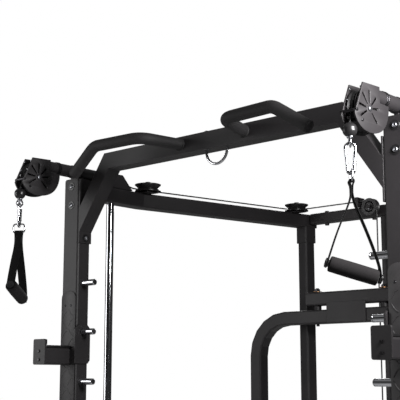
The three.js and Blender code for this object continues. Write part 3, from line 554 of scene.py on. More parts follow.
def hex_bolt(name, place, axis, across, height, body, slot="black_steel", material=None, washer=True):
    """A hexagon head, on a washer or bare; the axis points out of the surface."""
    if washer:
        section = disc(across * 0.68, WASHER_HEIGHT, 0.4 * MM)
        turned(name + "_washer", body, section, place, axis, slot, material, 32)
        place = place + axis * WASHER_HEIGHT
    first, second = frame_across(axis)
    radius = across / math.sqrt(3)
    vertices = []
    for level, scale in ((0.0, 1.0), (height * 0.82, 1.0), (height, 0.84)):
        for i in range(6):
            spoke = first * math.cos(math.pi / 3 * i) + second * math.sin(math.pi / 3 * i)
            vertices.append(place + axis * level + spoke * radius * scale)
    faces = [tuple(range(6)), tuple(range(12, 18))]
    for row in (0, 6):
        for i in range(6):
            after = (i + 1) % 6
            faces.append((row + i, row + after, row + 6 + after, row + 6 + i))
    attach(make_object(name, vertices, faces, slot, material, 20), body)


def centre(node_name):
    low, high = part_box(node_name)
    return (low + high) / 2


# ---- wheels ----
WHEEL_BORE, WHEEL_HUB, WEB_START = 9.5 * MM, 15 * MM, 16 * MM
WEB_END, RIM_DEPTH, LIP_WIDTH = 6 * MM, 2 * MM, 1.8 * MM
GROOVE_HALF, GROOVE_SAG = 2.2 * MM, 1.2 * MM
BEARING_BORE, BEARING_OUTER = 6.4 * MM, 9.4 * MM


def wheel(name, cad_node, body, axis, groove_depth):
    """A moulded cable wheel: deep groove, dished web, and a steel bearing at the hub."""
    low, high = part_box(cad_node)
    size = high - low
    half = size.dot(axis) / 2
    outer = max(size) / 2
    groove = outer - groove_depth
    near = [
        (WHEEL_BORE, -half), (WHEEL_HUB, -half), (WEB_START, -half * 0.55), (groove - WEB_END, -half * 0.5),
        (groove - RIM_DEPTH, -half), (outer, -half), (outer, -half + LIP_WIDTH), (groove, -GROOVE_HALF),
    ]
    far = [(radius, -height) for radius, height in reversed(near)]
    place = (low + high) / 2
    profile = [*near, (groove - GROOVE_SAG, 0), *far]
    turned(name, body, profile, place, axis, "moulded_plastic", cad=cad_node)
    reach = half * 0.9
    bearing = [(BEARING_BORE, -reach), (BEARING_OUTER, -reach), (BEARING_OUTER, reach), (BEARING_BORE, reach)]
    turned(name + "_bearing", body, bearing, place, axis, "black_steel", ZINC, 32)


# ---- pulley bracket ----
PLATE_THICKNESS, PLATE_BEVEL = 4 * MM, 0.7 * MM
PLATE_LENGTH, NOTCH_LENGTH = 143 * MM, 37 * MM
MOUTH_CUT = 36 * MM
# Each slot's direction in degrees, and how far it reaches from the wheel's axis, in mm.
SLOTS = ((8, 36), (47, 40), (90, 41), (130, 41), (174, 41), (211, 42), (316, 40))
SLOT_START = 12.5
SLOT_NEAR_HALF, SLOT_FAR_HALF = 1.9 * MM, 3.0 * MM
STUB_START, STUB_BORE, STUB_RADIUS = 105 * MM, 12 * MM, 19 * MM
COLLAR_OFFSET, COLLAR_RADIUS = 35 * MM, 20.6 * MM
WEB_OFFSET, WEB_HEIGHT, WEB_THICKNESS, WEB_HOLE = 99 * MM, 34 * MM, 9 * MM, 11 * MM
# Places in mm: rollers from the bracket's front and bottom, bolts from its front and top.
EXIT_ROLLERS = ((6.5, 44), (28, 24))
EDGE_BOLTS = ((34, 14), (22, 42))
ROLLER_RADIUS, AXLE_RADIUS, AXLE_PROUD = 3.8 * MM, 5.2 * MM, 4 * MM
BRACKET_GROOVE = 8 * MM


def bezier(a, b, c, steps=14):
    return [(a[0] * (1 - t) ** 2 + 2 * b[0] * t * (1 - t) + c[0] * t * t,
             a[1] * (1 - t) ** 2 + 2 * b[1] * t * (1 - t) + c[1] * t * t)
            for t in (i / steps for i in range(steps + 1))]


def bracket_outline(low, high):
    """The side plate in Y and Z: straight mouth edge, round bottom and a notch for the arm tube."""
    front, rear = low.y, low.y + PLATE_LENGTH
    notch = rear - NOTCH_LENGTH
    bottom, top = low.z, high.z
    mouth = (front, bottom + MOUTH_CUT)
    points = [(front + MOUTH_CUT, top - 3 * MM), mouth]
    points += bezier(mouth, (front + 12 * MM, bottom + 1 * MM), (front + 62 * MM, bottom))[1:]
    points += bezier(points[-1], (rear - 10 * MM, bottom + 2 * MM), (rear, bottom + 64 * MM))[1:]
    points += [(rear, bottom + 77 * MM), (notch, bottom + 78 * MM), (notch, top)]
    return points


def slot_outline(hub, degrees, reach):
    angle = math.radians(degrees)
    along = Vector((math.cos(angle), math.sin(angle)))
    side = Vector((-along.y, along.x))
    end = [hub + along * reach * MM + (side * math.cos(a) + along * math.sin(a)) * SLOT_FAR_HALF
           for a in (math.pi * k / 5 for k in range(6))]
    start = hub + along * SLOT_START * MM
    return [tuple(p) for p in [*end, start - side * SLOT_NEAR_HALF, start + side * SLOT_NEAR_HALF]]


def bracket(side):
    """Two slotted plates on a stub and a web, with exit rollers, edge bolts, and a wheel on its axle."""
    body = "swivel_" + side
    cad = "pulley_bracket_" + side
    low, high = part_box(cad)
    x = (low.x + high.x) / 2
    inner = (high.x - low.x) / 2 - PLATE_THICKNESS
    hub = centre("bracket_pulley_" + side)
    outline = bracket_outline(low, high)
    holes = [slot_outline(Vector((hub.y, hub.z)), *slot) for slot in SLOTS]
    for label, offset in (("inner", -1), ("outer", 1)):
        place = Vector((x + offset * (inner + PLATE_THICKNESS / 2), 0, 0))
        piece = plate(f"bracket_plate_{label}_{side}", outline, holes, PLATE_THICKNESS, PLATE_BEVEL,
                      axes(place, Y, Z), "powder_coat")
        stand_in(piece, body, cad if offset < 0 else None)
    arm_z = pivot_of("bracket_swivel_" + side).z
    start = Vector((x, low.y + STUB_START, arm_z))
    stub_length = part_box("pulley_arm_" + side)[0].y - start.y - CLEARANCE
    stub = [(STUB_BORE, 0), (STUB_RADIUS, 0), (STUB_RADIUS, stub_length), (STUB_BORE, stub_length)]
    turned("bracket_stub_" + side, body, stub, start, Y, "powder_coat")
    turned("bracket_collar_" + side, body, ring(STUB_RADIUS, COLLAR_RADIUS, 5 * MM, 0.8 * MM),
           start + Y * COLLAR_OFFSET, Y, "black_steel")
    web_place = axes(Vector((x, low.y + WEB_OFFSET, arm_z)), X, Z)
    web = plate("bracket_web_" + side, soft_rectangle(2 * inner, WEB_HEIGHT, 1 * MM),
                [round_section(WEB_HOLE, 28)], WEB_THICKNESS, 0.6 * MM, web_place, "powder_coat")
    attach(web, body)
    for i, (forward, up) in enumerate(EXIT_ROLLERS):
        y, z = low.y + forward * MM, low.z + up * MM
        roller = rounded(spindle(ROLLER_RADIUS, inner), 0.6 * MM)
        turned(f"exit_roller_{i}_{side}", body, roller, Vector((x, y, z)), X, "black_steel")
        for tag, end in FACES_OF_PLATE:
            place = Vector((x + end * (inner + PLATE_THICKNESS), y, z))
            hex_bolt(f"roller_bolt_{i}_{tag}_{side}", place, X * end, 7 * MM, 2.6 * MM, body, washer=False)
    for i, (forward, down) in enumerate(EDGE_BOLTS):
        for tag, end in FACES_OF_PLATE:
            place = Vector((x + end * (inner - 0.2 * MM), low.y + forward * MM, high.z - down * MM))
            hex_bolt(f"edge_bolt_{i}_{tag}_{side}", place, X * -end, 6 * MM, 2.2 * MM, body,
                     "chrome", ZINC, False)
    reach = inner + AXLE_PROUD
    turned("wheel_axle_" + side, body, spindle(AXLE_RADIUS, reach), hub, X, "black_steel", ZINC,
           cad="bracket_axle_" + side)
    head = rounded(mm((0, 0), (7, 0), (7, 1.4), (4.6, 4), (0, 4.4)), 0.7 * MM)
    for tag, end in FACES_OF_PLATE:
        turned(f"axle_head_{tag}_{side}", body, head, hub + X * end * reach, X * end, "black_steel", ZINC, 32)
    wheel("bracket_wheel_" + side, "bracket_pulley_" + side, "bracket_wheel_" + side, X, BRACKET_GROOVE)


# ---- what hangs from the bracket ----
CABLE_RADIUS = 2.5 * MM
BALL_RADIUS, BALL_RISE, BALL_SEAM = 17 * MM, 30.5 * MM, 0.5 * MM
EYE_RADIUS, EYE_WIRE, EYE_RISE = 9.5 * MM, 2.5 * MM, 1.5 * MM
HOOK_WIRE, HOOK_WIDE, HOOK_NARROW = 3.2 * MM, 11.6 * MM, 7.6 * MM
GATE_RADIUS = 4.1 * MM
LINK_WIRE, LINK_HALF_WIDTH, LINK_CORNER = 2.3 * MM, 17.7 * MM, 8 * MM
STRAP_HALF_WIDTH, STRAP_THICKNESS = 12.5 * MM, 2.4 * MM
STRAP_LOOP, STRAP_SPLIT = 5.4 * MM, 39 * MM
THREAD_RADIUS = 0.35 * MM
GRIP_RADIUS, GRIP_HALF, GRIP_TAB = 17.5 * MM, 55 * MM, 59.5 * MM
GRIP_LIP, GRIP_BULGE, FOAM_BORE, GRIP_TUBE = 3 * MM, 0.5 * MM, 8.1 * MM, 7.9 * MM


def ball_stop(side):
    """The ball that the cable ends in, its swivel eye, and the cable's way through the bracket."""
    body = "swivel_" + side
    pivot = pivot_of("carabiner_swing_" + side)
    place = Vector((pivot.x, pivot.y, pivot.z + BALL_RISE))
    steps = 24
    profile = [(0, -BALL_RADIUS)]
    for i in range(1, steps):
        angle = -math.pi / 2 + math.pi * i / steps
        seam = BALL_SEAM if i == steps // 2 else 0
        profile.append((BALL_RADIUS * math.cos(angle) - seam, BALL_RADIUS * math.sin(angle)))
    profile.append((0, BALL_RADIUS))
    turned("ball_" + side, body, profile, place, Z, "moulded_plastic", cad="ball_stop_" + side)
    neck = mm((0, 0), (7.5, 0), (7.5, -4), (4.5, -6), (4.5, -14), (0, -14))
    turned("swivel_neck_" + side, body, rounded(neck, MM), place - Z * 14.5 * MM, Z, "chrome", ZINC)
    across = axis_of("carabiner_swing_" + side).cross(Z)
    eye_centre = pivot + Z * EYE_RISE
    loop = [eye_centre + (across * math.cos(a) + Z * math.sin(a)) * EYE_RADIUS
            for a in (2 * math.pi * i / 32 for i in range(32))]
    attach(sweep("swivel_eye_" + side, loop, round_section(EYE_WIRE), "chrome", closed=True), body)
    hub = centre("bracket_pulley_" + side)
    arm_z = pivot_of("bracket_swivel_" + side).z
    turn = arm_z - hub.z
    route = [Vector((place.x, hub.y + 86 * MM, arm_z))]
    route += [Vector((place.x, hub.y + turn * math.cos(a), hub.z + turn * math.sin(a)))
              for a in (math.pi / 2 * (1 + i / 12) for i in range(13))]
    route.append(place + Z * 14 * MM)
    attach(sweep("exit_cable_" + side, route, round_section(CABLE_RADIUS, 12), "cable_cover"), body)


def snap_hook(side):
    """A spring hook of round wire with a hinged gate, pinned at its lower end."""
    body = "hook_" + side
    low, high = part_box("carabiner_" + side)
    middle = (low + high) / 2
    along = axis_of("carabiner_swing_" + side)
    top, bottom = high.z - HOOK_WIRE, low.z + HOOK_WIRE
    loop = []
    for i in range(17):
        angle = math.pi * i / 16
        rise = top - HOOK_WIDE - middle.z + HOOK_WIDE * math.sin(angle)
        loop.append(middle + along * HOOK_WIDE * math.cos(angle) + Z * rise)
    for i in range(13):
        angle = math.pi + math.pi * i / 12
        rise = bottom + HOOK_NARROW - middle.z + HOOK_NARROW * math.sin(angle)
        loop.append(middle + along * HOOK_NARROW * math.cos(angle) + Z * rise)
    hook = sweep("snap_hook_" + side, loop, round_section(HOOK_WIRE, 14), "chrome", closed=True)
    stand_in(hook, body, "carabiner_" + side)
    gate_top = loop[0] - Z * 4 * MM
    gate_bottom = loop[-1] + Z * 9 * MM
    gate_way = gate_top - gate_bottom
    gate = disc(GATE_RADIUS, gate_way.length, 0.8 * MM)
    turned("gate_" + side, body, gate, gate_bottom, gate_way, "chrome", segments=24)
    across = along.cross(Z)
    rivet = rounded(mm((0, 0), (2, 0), (2, 0.8), (0, 1)), 0.3 * MM)
    for tag, end in TWO_ENDS:
        place = gate_bottom + Z * 3 * MM + across * end * 3.9 * MM
        turned(f"gate_rivet_{tag}_{side}", body, rivet, place, across * end, "chrome", ZINC, 16)


def link_ring(side):
    """The rounded wire link between the hook and the strap."""
    low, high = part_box("handle_ring_" + side)
    middle = (low + high) / 2
    across = axis_of("ring_swing_" + side)
    half_height = (high.z - low.z) / 2 - LINK_WIRE
    outline = soft_rectangle(2 * LINK_HALF_WIDTH, 2 * half_height, LINK_CORNER, 8)
    loop = [middle + across * u + Z * v for u, v in outline]
    link = sweep("link_ring_" + side, loop, round_section(LINK_WIRE, 14), "chrome", closed=True)
    stand_in(link, "link_" + side, "handle_ring_" + side)


def smooth_route(points, passes):
    """Corner cutting that keeps both ends, then drops points that stand too close."""
    for _ in range(passes):
        cut = [points[0]]
        for a, b in zip(points, points[1:]):
            cut += [a.lerp(b, 0.25), a.lerp(b, 0.75)]
        points = [*cut, points[-1]]
    kept = [points[0]]
    for point in points[1:]:
        if (point - kept[-1]).length > 1.2 * MM:
            kept.append(point)
    return kept


def handle_strap(side):
    """Webbing looped over the ring, sewn, and split in two legs that reach down past the tube's ends."""
    body = "strap_" + side
    pivot = pivot_of("strap_swing_" + side)
    across = axis_of("strap_swing_" + side)
    along = axis_of("carabiner_swing_" + side)
    grip = pivot_of("grip_spin_" + side)
    grip_axis = axis_of("grip_spin_" + side)
    up = grip_axis.cross(across - grip_axis * across.dot(grip_axis)).normalized()
    up = up if up.z > 0 else -up
    split = pivot.z - STRAP_SPLIT
    section = soft_rectangle(2 * STRAP_HALF_WIDTH, STRAP_THICKNESS, STRAP_THICKNESS * 0.42, 3)
    for tag, end in FRONT_AND_BACK:
        loop = [pivot + (along * end * math.cos(a) + Z * math.sin(a)) * STRAP_LOOP
                for a in (math.pi / 2 * (1 - i / 8) for i in range(9))]
        neck = [pivot + along * end * 5.0 * MM - Z * 3 * MM,
                pivot + along * end * STRAP_THICKNESS * 0.7 - Z * 9 * MM,
                Vector((pivot.x, pivot.y, split)) + along * end * STRAP_THICKNESS * 0.52]
        foot = grip + grip_axis * end * GRIP_TAB + up * 15 * MM
        sag = (neck[-1] + foot) / 2 + along * end * 3.5 * MM
        low_end = grip + grip_axis * end * GRIP_TAB - up * 10 * MM
        route = smooth_route([*loop, *neck, sag, foot, low_end], 3)
        leg = sweep(f"strap_leg_{tag}_{side}", route, section, "webbing", across=across)
        stand_in(leg, body, "handle_strap_" + side if end < 0 else None)
    stitches(side, pivot, along, across, split)


def stitches(side, pivot, along, across, split):
    """A sewn box on each face of the joined webbing."""
    thread = round_section(THREAD_RADIUS, 6)
    low, high = split + 6 * MM, pivot.z - 14 * MM
    half = STRAP_HALF_WIDTH - 3 * MM
    corners = [(-half, low), (half, low), (half, high), (-half, high)]
    for tag, face in TWO_ENDS:
        out = along * face * (STRAP_THICKNESS + THREAD_RADIUS)
        for i, run in enumerate(zip(corners, [*corners[1:], corners[0]])):
            ends = [Vector((pivot.x, pivot.y, z)) + across * u + out for u, z in run]
            piece = sweep(f"stitch_{i}_{tag}_{side}", ends, thread, "webbing", MATERIALS["tread_rubber"])
            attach(piece, "strap_" + side)


def handle_grip(side):
    """A foam sleeve on a plastic tube, whose capped ends stand outside the strap's legs."""
    body = "grip_" + side
    place = pivot_of("grip_spin_" + side)
    axis = axis_of("grip_spin_" + side)
    tube_end = GRIP_TAB + 2.5 * MM
    near = [(FOAM_BORE, -GRIP_HALF), (GRIP_RADIUS - GRIP_LIP, -GRIP_HALF),
            (GRIP_RADIUS - 0.8 * MM, -GRIP_HALF + 1 * MM), (GRIP_RADIUS, -GRIP_HALF + GRIP_LIP)]
    bulge = [(GRIP_RADIUS + GRIP_BULGE * math.sin(math.pi * i / 12),
              -GRIP_HALF + GRIP_LIP + (2 * GRIP_HALF - 6 * MM) * i / 12) for i in range(1, 12)]
    foam = [*near, *bulge, *((radius, -height) for radius, height in reversed(near))]
    turned("foam_grip_" + side, body, foam, place, axis, "foam", cad="handle_grip_" + side)
    turned("grip_tube_" + side, body, spindle(GRIP_TUBE, tube_end), place, axis, "moulded_plastic")
    cap = rounded(mm((0, 0), (11, 0), (11, 2), (6, 3.4), (0, 3.5)), 0.6 * MM)
    for tag, end in FRONT_AND_BACK:
        turned(f"grip_cap_{tag}_{side}", body, cap, place + axis * end * tube_end, axis * end,
               "moulded_plastic")


# ---- pull-up handles, anchor, arms and hooks ----
SLEEVE_RADIUS, SLEEVE_BEND = 16.8 * MM, 52 * MM
ANCHOR_WIRE, ANCHOR_RADIUS = 4 * MM, 38 * MM
ARM_BORE, ARM_RADIUS, ARM_LENGTH = 15.6 * MM, 19.15 * MM, 256 * MM
BAND_OFFSETS, BAND_WIDTH = (0, 58, 66), 4.5 * MM
SADDLE_HALF, SADDLE_DEPTH = 22.5 * MM, 25 * MM
LINER_WIDTH, LINER_THICKNESS, LIP_HEIGHT, LIP_THICKNESS = 50 * MM, 7 * MM, 17 * MM, 5 * MM


def pull_up_handle(side):
    """A bent bar in a pebbled sleeve, with a weld at the crossbar and a domed outer end."""
    k = SIDES[side]
    low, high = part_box("pullup_handle_" + side)
    front_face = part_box("crossbar")[0].y
    near, far = sorted((abs(low.x), abs(high.x)))
    corners = [
        (near + 15 * MM, front_face - CLEARANCE, high.z - 20 * MM),
        (near + 49 * MM, low.y + 31 * MM, high.z - 16 * MM),
        (near + 222 * MM, low.y + 17 * MM, high.z - 17 * MM),
        (far - 9 * MM, low.y + 29 * MM, low.z + 14 * MM),
    ]
    route = bend([(k * x, y, z) for x, y, z in corners], SLEEVE_BEND, 12)
    tip = (route[-1] - route[-2]).normalized()
    route[-1] = route[-1] - tip * 4 * MM
    handle = sweep("pull_up_handle_" + side, route, round_section(SLEEVE_RADIUS, 28), "grip_sleeve")
    stand_in(handle, "rack", "pullup_handle_" + side)
    dome = [(0, 0), (SLEEVE_RADIUS, 0), (SLEEVE_RADIUS * 0.99, 2.4 * MM), (SLEEVE_RADIUS * 0.8, 4.6 * MM),
            (0, 5.2 * MM)]
    turned("handle_end_" + side, "rack", rounded(dome, 0.8 * MM), route[-1], tip, "grip_sleeve")
    weld = [(SLEEVE_RADIUS - 1 * MM, 0), (SLEEVE_RADIUS + 2 * MM, 0), (SLEEVE_RADIUS + 0.9 * MM, -1.2 * MM),
            (SLEEVE_RADIUS, -3 * MM), (SLEEVE_RADIUS - 1 * MM, -3 * MM)]
    turned("handle_weld_" + side, "rack", weld, route[0], Y, "grip_sleeve")


def anchor():
    """The U-bolt under the crossbar, with a nut on each leg."""
    low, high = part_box("anchor_ring")
    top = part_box("crossbar")[1].z
    y = (low.y + high.y) / 2
    bend_z = low.z + ANCHOR_WIRE + ANCHOR_RADIUS
    arc = [Vector((ANCHOR_RADIUS * math.cos(a), y, bend_z + ANCHOR_RADIUS * math.sin(a)))
           for a in (math.pi * (1 + i / 28) for i in range(29))]
    left_leg = [Vector((-ANCHOR_RADIUS, y, z)) for z in (high.z, top)]
    right_leg = [Vector((ANCHOR_RADIUS, y, z)) for z in (top, high.z)]
    loop = sweep("anchor_loop", [*left_leg, *arc, *right_leg], round_section(ANCHOR_WIRE, 20), "chrome")
    stand_in(loop, "rack", "anchor_ring")
    for side, k in SIDES.items():
        hex_bolt("anchor_nut_" + side, Vector((k * ANCHOR_RADIUS, y, top)), Z, 13 * MM, 6 * MM, "rack")


def arm_details(side):
    """Smooth tube over the faceted arm, with bands round it, and the bolts of its saddle."""
    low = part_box("pulley_arm_" + side)[0]
    pivot = pivot_of("bracket_swivel_" + side)
    front, rear = low.y, low.y + ARM_LENGTH
    tube = [(ARM_BORE, 0), (ARM_RADIUS, 0), (ARM_RADIUS, rear - front), (ARM_BORE, rear - front)]
    turned("arm_skin_" + side, "rack", tube, Vector((pivot.x, front, pivot.z)), Y, "powder_coat")
    band = ring(19 * MM, 20.8 * MM, BAND_WIDTH, 0.8 * MM)
    for i, offset in enumerate(BAND_OFFSETS):
        place = Vector((pivot.x, front + (1 + offset) * MM, pivot.z))
        turned(f"arm_band_{i}_{side}", "rack", band, place, Y, "black_steel")
    saddle_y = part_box("front_upright_" + side)[0].y + SADDLE_DEPTH
    for tag, end in TWO_ENDS:
        place = Vector((pivot.x + end * SADDLE_HALF, saddle_y, low.z + 8.1 * MM))
        hex_bolt(f"saddle_bolt_{tag}_{side}", place, Z, 8 * MM, 4 * MM, "rack", washer=False)


def hook_details(side):
    """Plastic liners on the J-hook's arm and lip, with their screws."""
    k = SIDES[side]
    low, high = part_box("j_hook_" + side)
    middle = max(abs(low.x), abs(high.x)) - 1 * MM - 26 * MM
    arm_top = low.z + 51 * MM
    front, rear = low.y + 6 * MM, low.y + 101 * MM
    bed_place = axes(Vector((k * middle, (front + rear) / 2, arm_top + 3.6 * MM)), X, Y)
    bed = plate("hook_liner_" + side, soft_rectangle(LINER_WIDTH, rear - front - 1 * MM, 3 * MM), [],
                LINER_THICKNESS, 1.5 * MM, bed_place, "moulded_plastic")
    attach(bed, "rack")
    lip_place = axes(Vector((k * middle, front + 2.7 * MM, arm_top + 15.8 * MM)), X, Z)
    lip = plate("hook_lip_liner_" + side, soft_rectangle(LINER_WIDTH, LIP_HEIGHT, 3 * MM), [],
                LIP_THICKNESS, 1.2 * MM, lip_place, "moulded_plastic")
    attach(lip, "rack")
    for i, rise in enumerate((15 * MM, 40 * MM)):
        place = Vector((k * middle, low.y, low.z + rise))
        hex_bolt(f"hook_bolt_{i}_{side}", place, -Y, 8 * MM, 3 * MM, "rack", washer=False)


# ---- tread strips, pegs, rods and the bar ----
STRIP_SHOULDER, STRIP_BEVEL = 24 * MM, 0.8 * MM
MARK_PITCH, MARKS_FROM, MARKS_TO = 30 * MM, 22 * MM, 62 * MM
MARK_COLUMN, MARK_STAGGER = 14.5 * MM, 7 * MM
# A mark's width, height and bow in mm, and how many steps it is drawn in.
MARK_WIDTH, MARK_HEIGHT, MARK_BOW, MARK_STEPS = 21, 22, 5, 8
MARK_SECTION = mm((-1.6, 0.3), (-0.9, -0.9), (0.9, -0.9), (1.6, 0.3))
PEG_COUNT, PEG_PITCH, PEG_END = 9, 150 * MM, 20 * MM
PEG_RADIUS, PEG_ROOT, PEG_GROOVE = 9.5 * MM, 4 * MM, 0.7 * MM
ROD_RADIUS, STOP_RADIUS, STOP_HEIGHT = 12.5 * MM, 22 * MM, 22 * MM
BAR_GRIP, BAR_SLEEVE, BAR_SHOULDER = 14 * MM, 25 * MM, 31 * MM
BAR_INNER = 652 * MM
KNURL_START, KNURL_LENGTH = 180 * MM, 320 * MM


def tread_mark(vertices, faces, origin, turn):
    """Adds one curved raised mark, which narrows to both ends."""
    start = len(vertices)
    for i in range(MARK_STEPS + 1):
        t = i / MARK_STEPS - 0.5
        u = origin.x + turn * t * MARK_WIDTH * MM
        v = origin.y + t * MARK_HEIGHT * MM + turn * MARK_BOW * MM * math.cos(math.pi * t)
        narrow = 1.0 - 0.75 * abs(2 * t) ** 4
        slope = MARK_HEIGHT - turn * MARK_BOW * math.pi * math.sin(math.pi * t)
        tangent = Vector((turn * MARK_WIDTH, slope)).normalized()
        side_way = Vector((-tangent.y, tangent.x))
        vertices += [(Vector((u, v)) + side_way * s * narrow, depth) for s, depth in MARK_SECTION]
    for i in range(MARK_STEPS):
        for c in range(4):
            a, b = start + i * 4 + c, start + i * 4 + (c + 1) % 4
            faces.append((a, b, b + 4, a + 4))
    faces.append(tuple(start + c for c in range(4)))
    faces.append(tuple(start + MARK_STEPS * 4 + c for c in range(4)))


def tread_strip(side):
    """A moulded strip with rows of curved raised marks and two small screws near the top."""
    low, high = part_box("tread_strip_" + side)
    x = (low.x + high.x) / 2
    half = (high.x - low.x) / 2
    length = high.z - low.z
    thickness = high.y - low.y
    shoulder = length - STRIP_SHOULDER
    outline = [(-half, 0), (half, 0), (half, shoulder)]
    outline += bezier((half, shoulder), (half, length), (0, length), 10)[1:]
    outline += bezier((0, length), (-half, length), (-half, shoulder), 10)[1:]
    place = axes(Vector((x, high.y - thickness / 2 + 0.5 * MM, low.z)), X, Z)
    base = plate("strip_base_" + side, outline, [], thickness - 1 * MM, STRIP_BEVEL, place, "tread_rubber")
    stand_in(base, "rack", "tread_strip_" + side)
    face = low.y + 1.0 * MM
    drawn, faces = [], []
    row = 0
    z = MARKS_FROM
    while z < length - MARKS_TO:
        for column in (-1, 1):
            turn = 1 if (row + (column > 0)) % 2 else -1
            rise = MARK_STAGGER if column > 0 else 0
            tread_mark(drawn, faces, Vector((column * MARK_COLUMN, z + rise)), turn)
        z += MARK_PITCH
        row += 1
    vertices = [Vector((x + point.x, face + depth, low.z + point.y)) for point, depth in drawn]
    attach(make_object("strip_marks_" + side, vertices, faces, "tread_rubber", smooth_angle=50), "rack")
    head = rounded(mm((0, 0), (3.6, 0), (3.2, 1.2), (0, 1.7)), 0.4 * MM)
    for tag, end in TWO_ENDS:
        place = Vector((x + end * 13 * MM, face + 0.1 * MM, high.z - 45 * MM))
        turned(f"strip_screw_{tag}_{side}", "rack", head, place, -Y, "black_steel", segments=20)


def pegs(side):
    """Polished pegs with a chamfered end and a groove behind it."""
    k = SIDES[side]
    low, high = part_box("peg_row_" + side)
    tip, outer = sorted((abs(low.x), abs(high.x)))
    root = outer - PEG_ROOT
    length = root - tip
    neck = PEG_RADIUS - PEG_GROOVE
    profile = [(0, 0), (PEG_RADIUS, 0), (PEG_RADIUS, length - 7 * MM), (neck, length - 6.4 * MM),
               (neck, length - 5.2 * MM), (PEG_RADIUS, length - 4.6 * MM), (PEG_RADIUS, length - 2 * MM),
               (PEG_RADIUS - 2 * MM, length), (0, length)]
    for i in range(PEG_COUNT):
        place = Vector((k * root, (low.y + high.y) / 2, high.z - PEG_END - i * PEG_PITCH))
        turned(f"peg_{i}_{side}", "rack", profile, place, X * -k, "chrome", segments=32,
               cad=None if i else "peg_row_" + side)


def guide_rod(side):
    """A chrome rod with a collar at its foot and the stop that the bar's sleeve rests on."""
    low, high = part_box("guide_rod_" + side)
    middle = centre("guide_rod_" + side)
    place = Vector((middle.x, middle.y, low.z))
    rod = disc(ROD_RADIUS, high.z - low.z, 0.8 * MM)
    turned("rod_" + side, "rack", rod, place, Z, "chrome", cad="guide_rod_" + side)
    stop_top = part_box("bar_sleeve_" + side)[0].z - CLEARANCE
    stop_place = Vector((place.x, place.y, stop_top - STOP_HEIGHT))
    stop = ring(ROD_RADIUS, STOP_RADIUS, STOP_HEIGHT, 2 * MM)
    turned("rod_stop_" + side, "rack", stop, stop_place, Z, "moulded_plastic")
    turned("rod_foot_" + side, "rack", ring(ROD_RADIUS, 21 * MM, 12 * MM, 1 * MM), place, Z, "black_steel")


def bar():
    """The guided bar: thin between its shoulders, plate sleeves outside them, and a band for each hand."""
    low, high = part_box("sliding_bar")
    place = (low + high) / 2
    half = (high.x - low.x) / 2
    groove = BAR_SLEEVE - 1 * MM
    left = [
        (0, -half), (BAR_SLEEVE - 1.5 * MM, -half), (BAR_SLEEVE, -half + 1.5 * MM),
        (BAR_SLEEVE, -half + 30 * MM), (groove, -half + 31 * MM), (groove, -half + 34 * MM),
        (BAR_SLEEVE, -half + 35 * MM), (BAR_SLEEVE, -BAR_INNER), (BAR_SHOULDER - 1 * MM, -BAR_INNER),
        (BAR_SHOULDER, -BAR_INNER + 1 * MM), (BAR_SHOULDER, -BAR_INNER + 13 * MM),
        (BAR_SHOULDER - 1 * MM, -BAR_INNER + 14 * MM), (BAR_GRIP, -BAR_INNER + 14 * MM),
    ]
    profile = [*left, *((radius, -height) for radius, height in reversed(left))]
    turned("bar_body", "bar", profile, place, X, "chrome", cad="sliding_bar")
    sunk, proud = BAR_GRIP - 0.2 * MM, BAR_GRIP + 0.35 * MM
    knurl = [(sunk, 0), (proud, 1 * MM), (proud, 319 * MM), (sunk, KNURL_LENGTH)]
    for side, k in SIDES.items():
        turned("bar_knurl_" + side, "bar", knurl, place + X * k * KNURL_START, X * k, "black_steel", ZINC)


# ---- cables ----
WHEEL_CABLE_RADIUS = 38 * MM
CABLE_START, CABLE_ARM_END, KINK_LEAD = 48 * MM, 240 * MM, 33 * MM
FERRULE_RADIUS, FERRULE_HEIGHT = 6 * MM, 14 * MM


def cable_turn(at, radius, start, end, place):
    """Thirteen points round a wheel. place(at, across, along) puts one of them in space."""
    angles = [start + (end - start) * i / 12 for i in range(13)]
    return [place(at, radius * math.cos(a), radius * math.sin(a)) for a in angles]


def held_cable(side):
    """From the arm tube past the kink wheel, round the corner wheel, over the centre wheel and down."""
    k = SIDES[side]
    kink, corner, middle = (centre(f"{name}_pulley_{side}") for name in ("kink", "corner", "centre"))
    pivot = pivot_of("bracket_swivel_" + side)
    slant = math.atan2(abs(kink.x) - abs(corner.x), corner.y - kink.y)
    drop = kink.z - middle.z

    def level(at, across, along):
        return Vector((at.x + k * across, at.y + along, at.z))

    def upright(at, across, along):
        return Vector((at.x + k * across, at.y, at.z + along))

    end_x = middle.x - k * drop
    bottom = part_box("cable_" + side)[0].z
    route = [
        Vector((pivot.x, pivot.y + CABLE_START, pivot.z)),
        Vector((pivot.x, pivot.y + CABLE_ARM_END, pivot.z)),
        Vector((pivot.x, kink.y - KINK_LEAD, kink.z)),
        *cable_turn(kink, WHEEL_CABLE_RADIUS, 0, slant, level),
        *cable_turn(corner, WHEEL_CABLE_RADIUS, slant, math.pi / 2, level),
        *cable_turn(middle, drop, math.pi / 2, math.pi, upright),
        Vector((end_x, middle.y, bottom + 6 * MM)),
    ]
    cable = sweep("cable_run_" + side, route, round_section(CABLE_RADIUS, 12), "cable_cover")
    stand_in(cable, "rack", "cable_" + side)
    ferrule = disc(FERRULE_RADIUS, FERRULE_HEIGHT, 1 * MM)
    turned("cable_ferrule_" + side, "rack", ferrule, Vector((end_x, middle.y, bottom)), Z, "chrome", ZINC, 24)


# ---- frame bolts, caps and feet ----
BOLT_INSET, BOLT_WASHER_RADIUS = 14 * MM, 13 * MM
CAP_SIZE, CAP_THICKNESS = (63.4 * MM, 43.4 * MM), 5 * MM
RAIL_PAD_SIZE, RAIL_PAD_THICKNESS, RAIL_PAD_INSET = (46 * MM, 30 * MM), 3 * MM, 60 * MM
BEAM_BOLTS, BEAM_WASHER_HEIGHT = (50 * MM, 331 * MM), 2.4 * MM


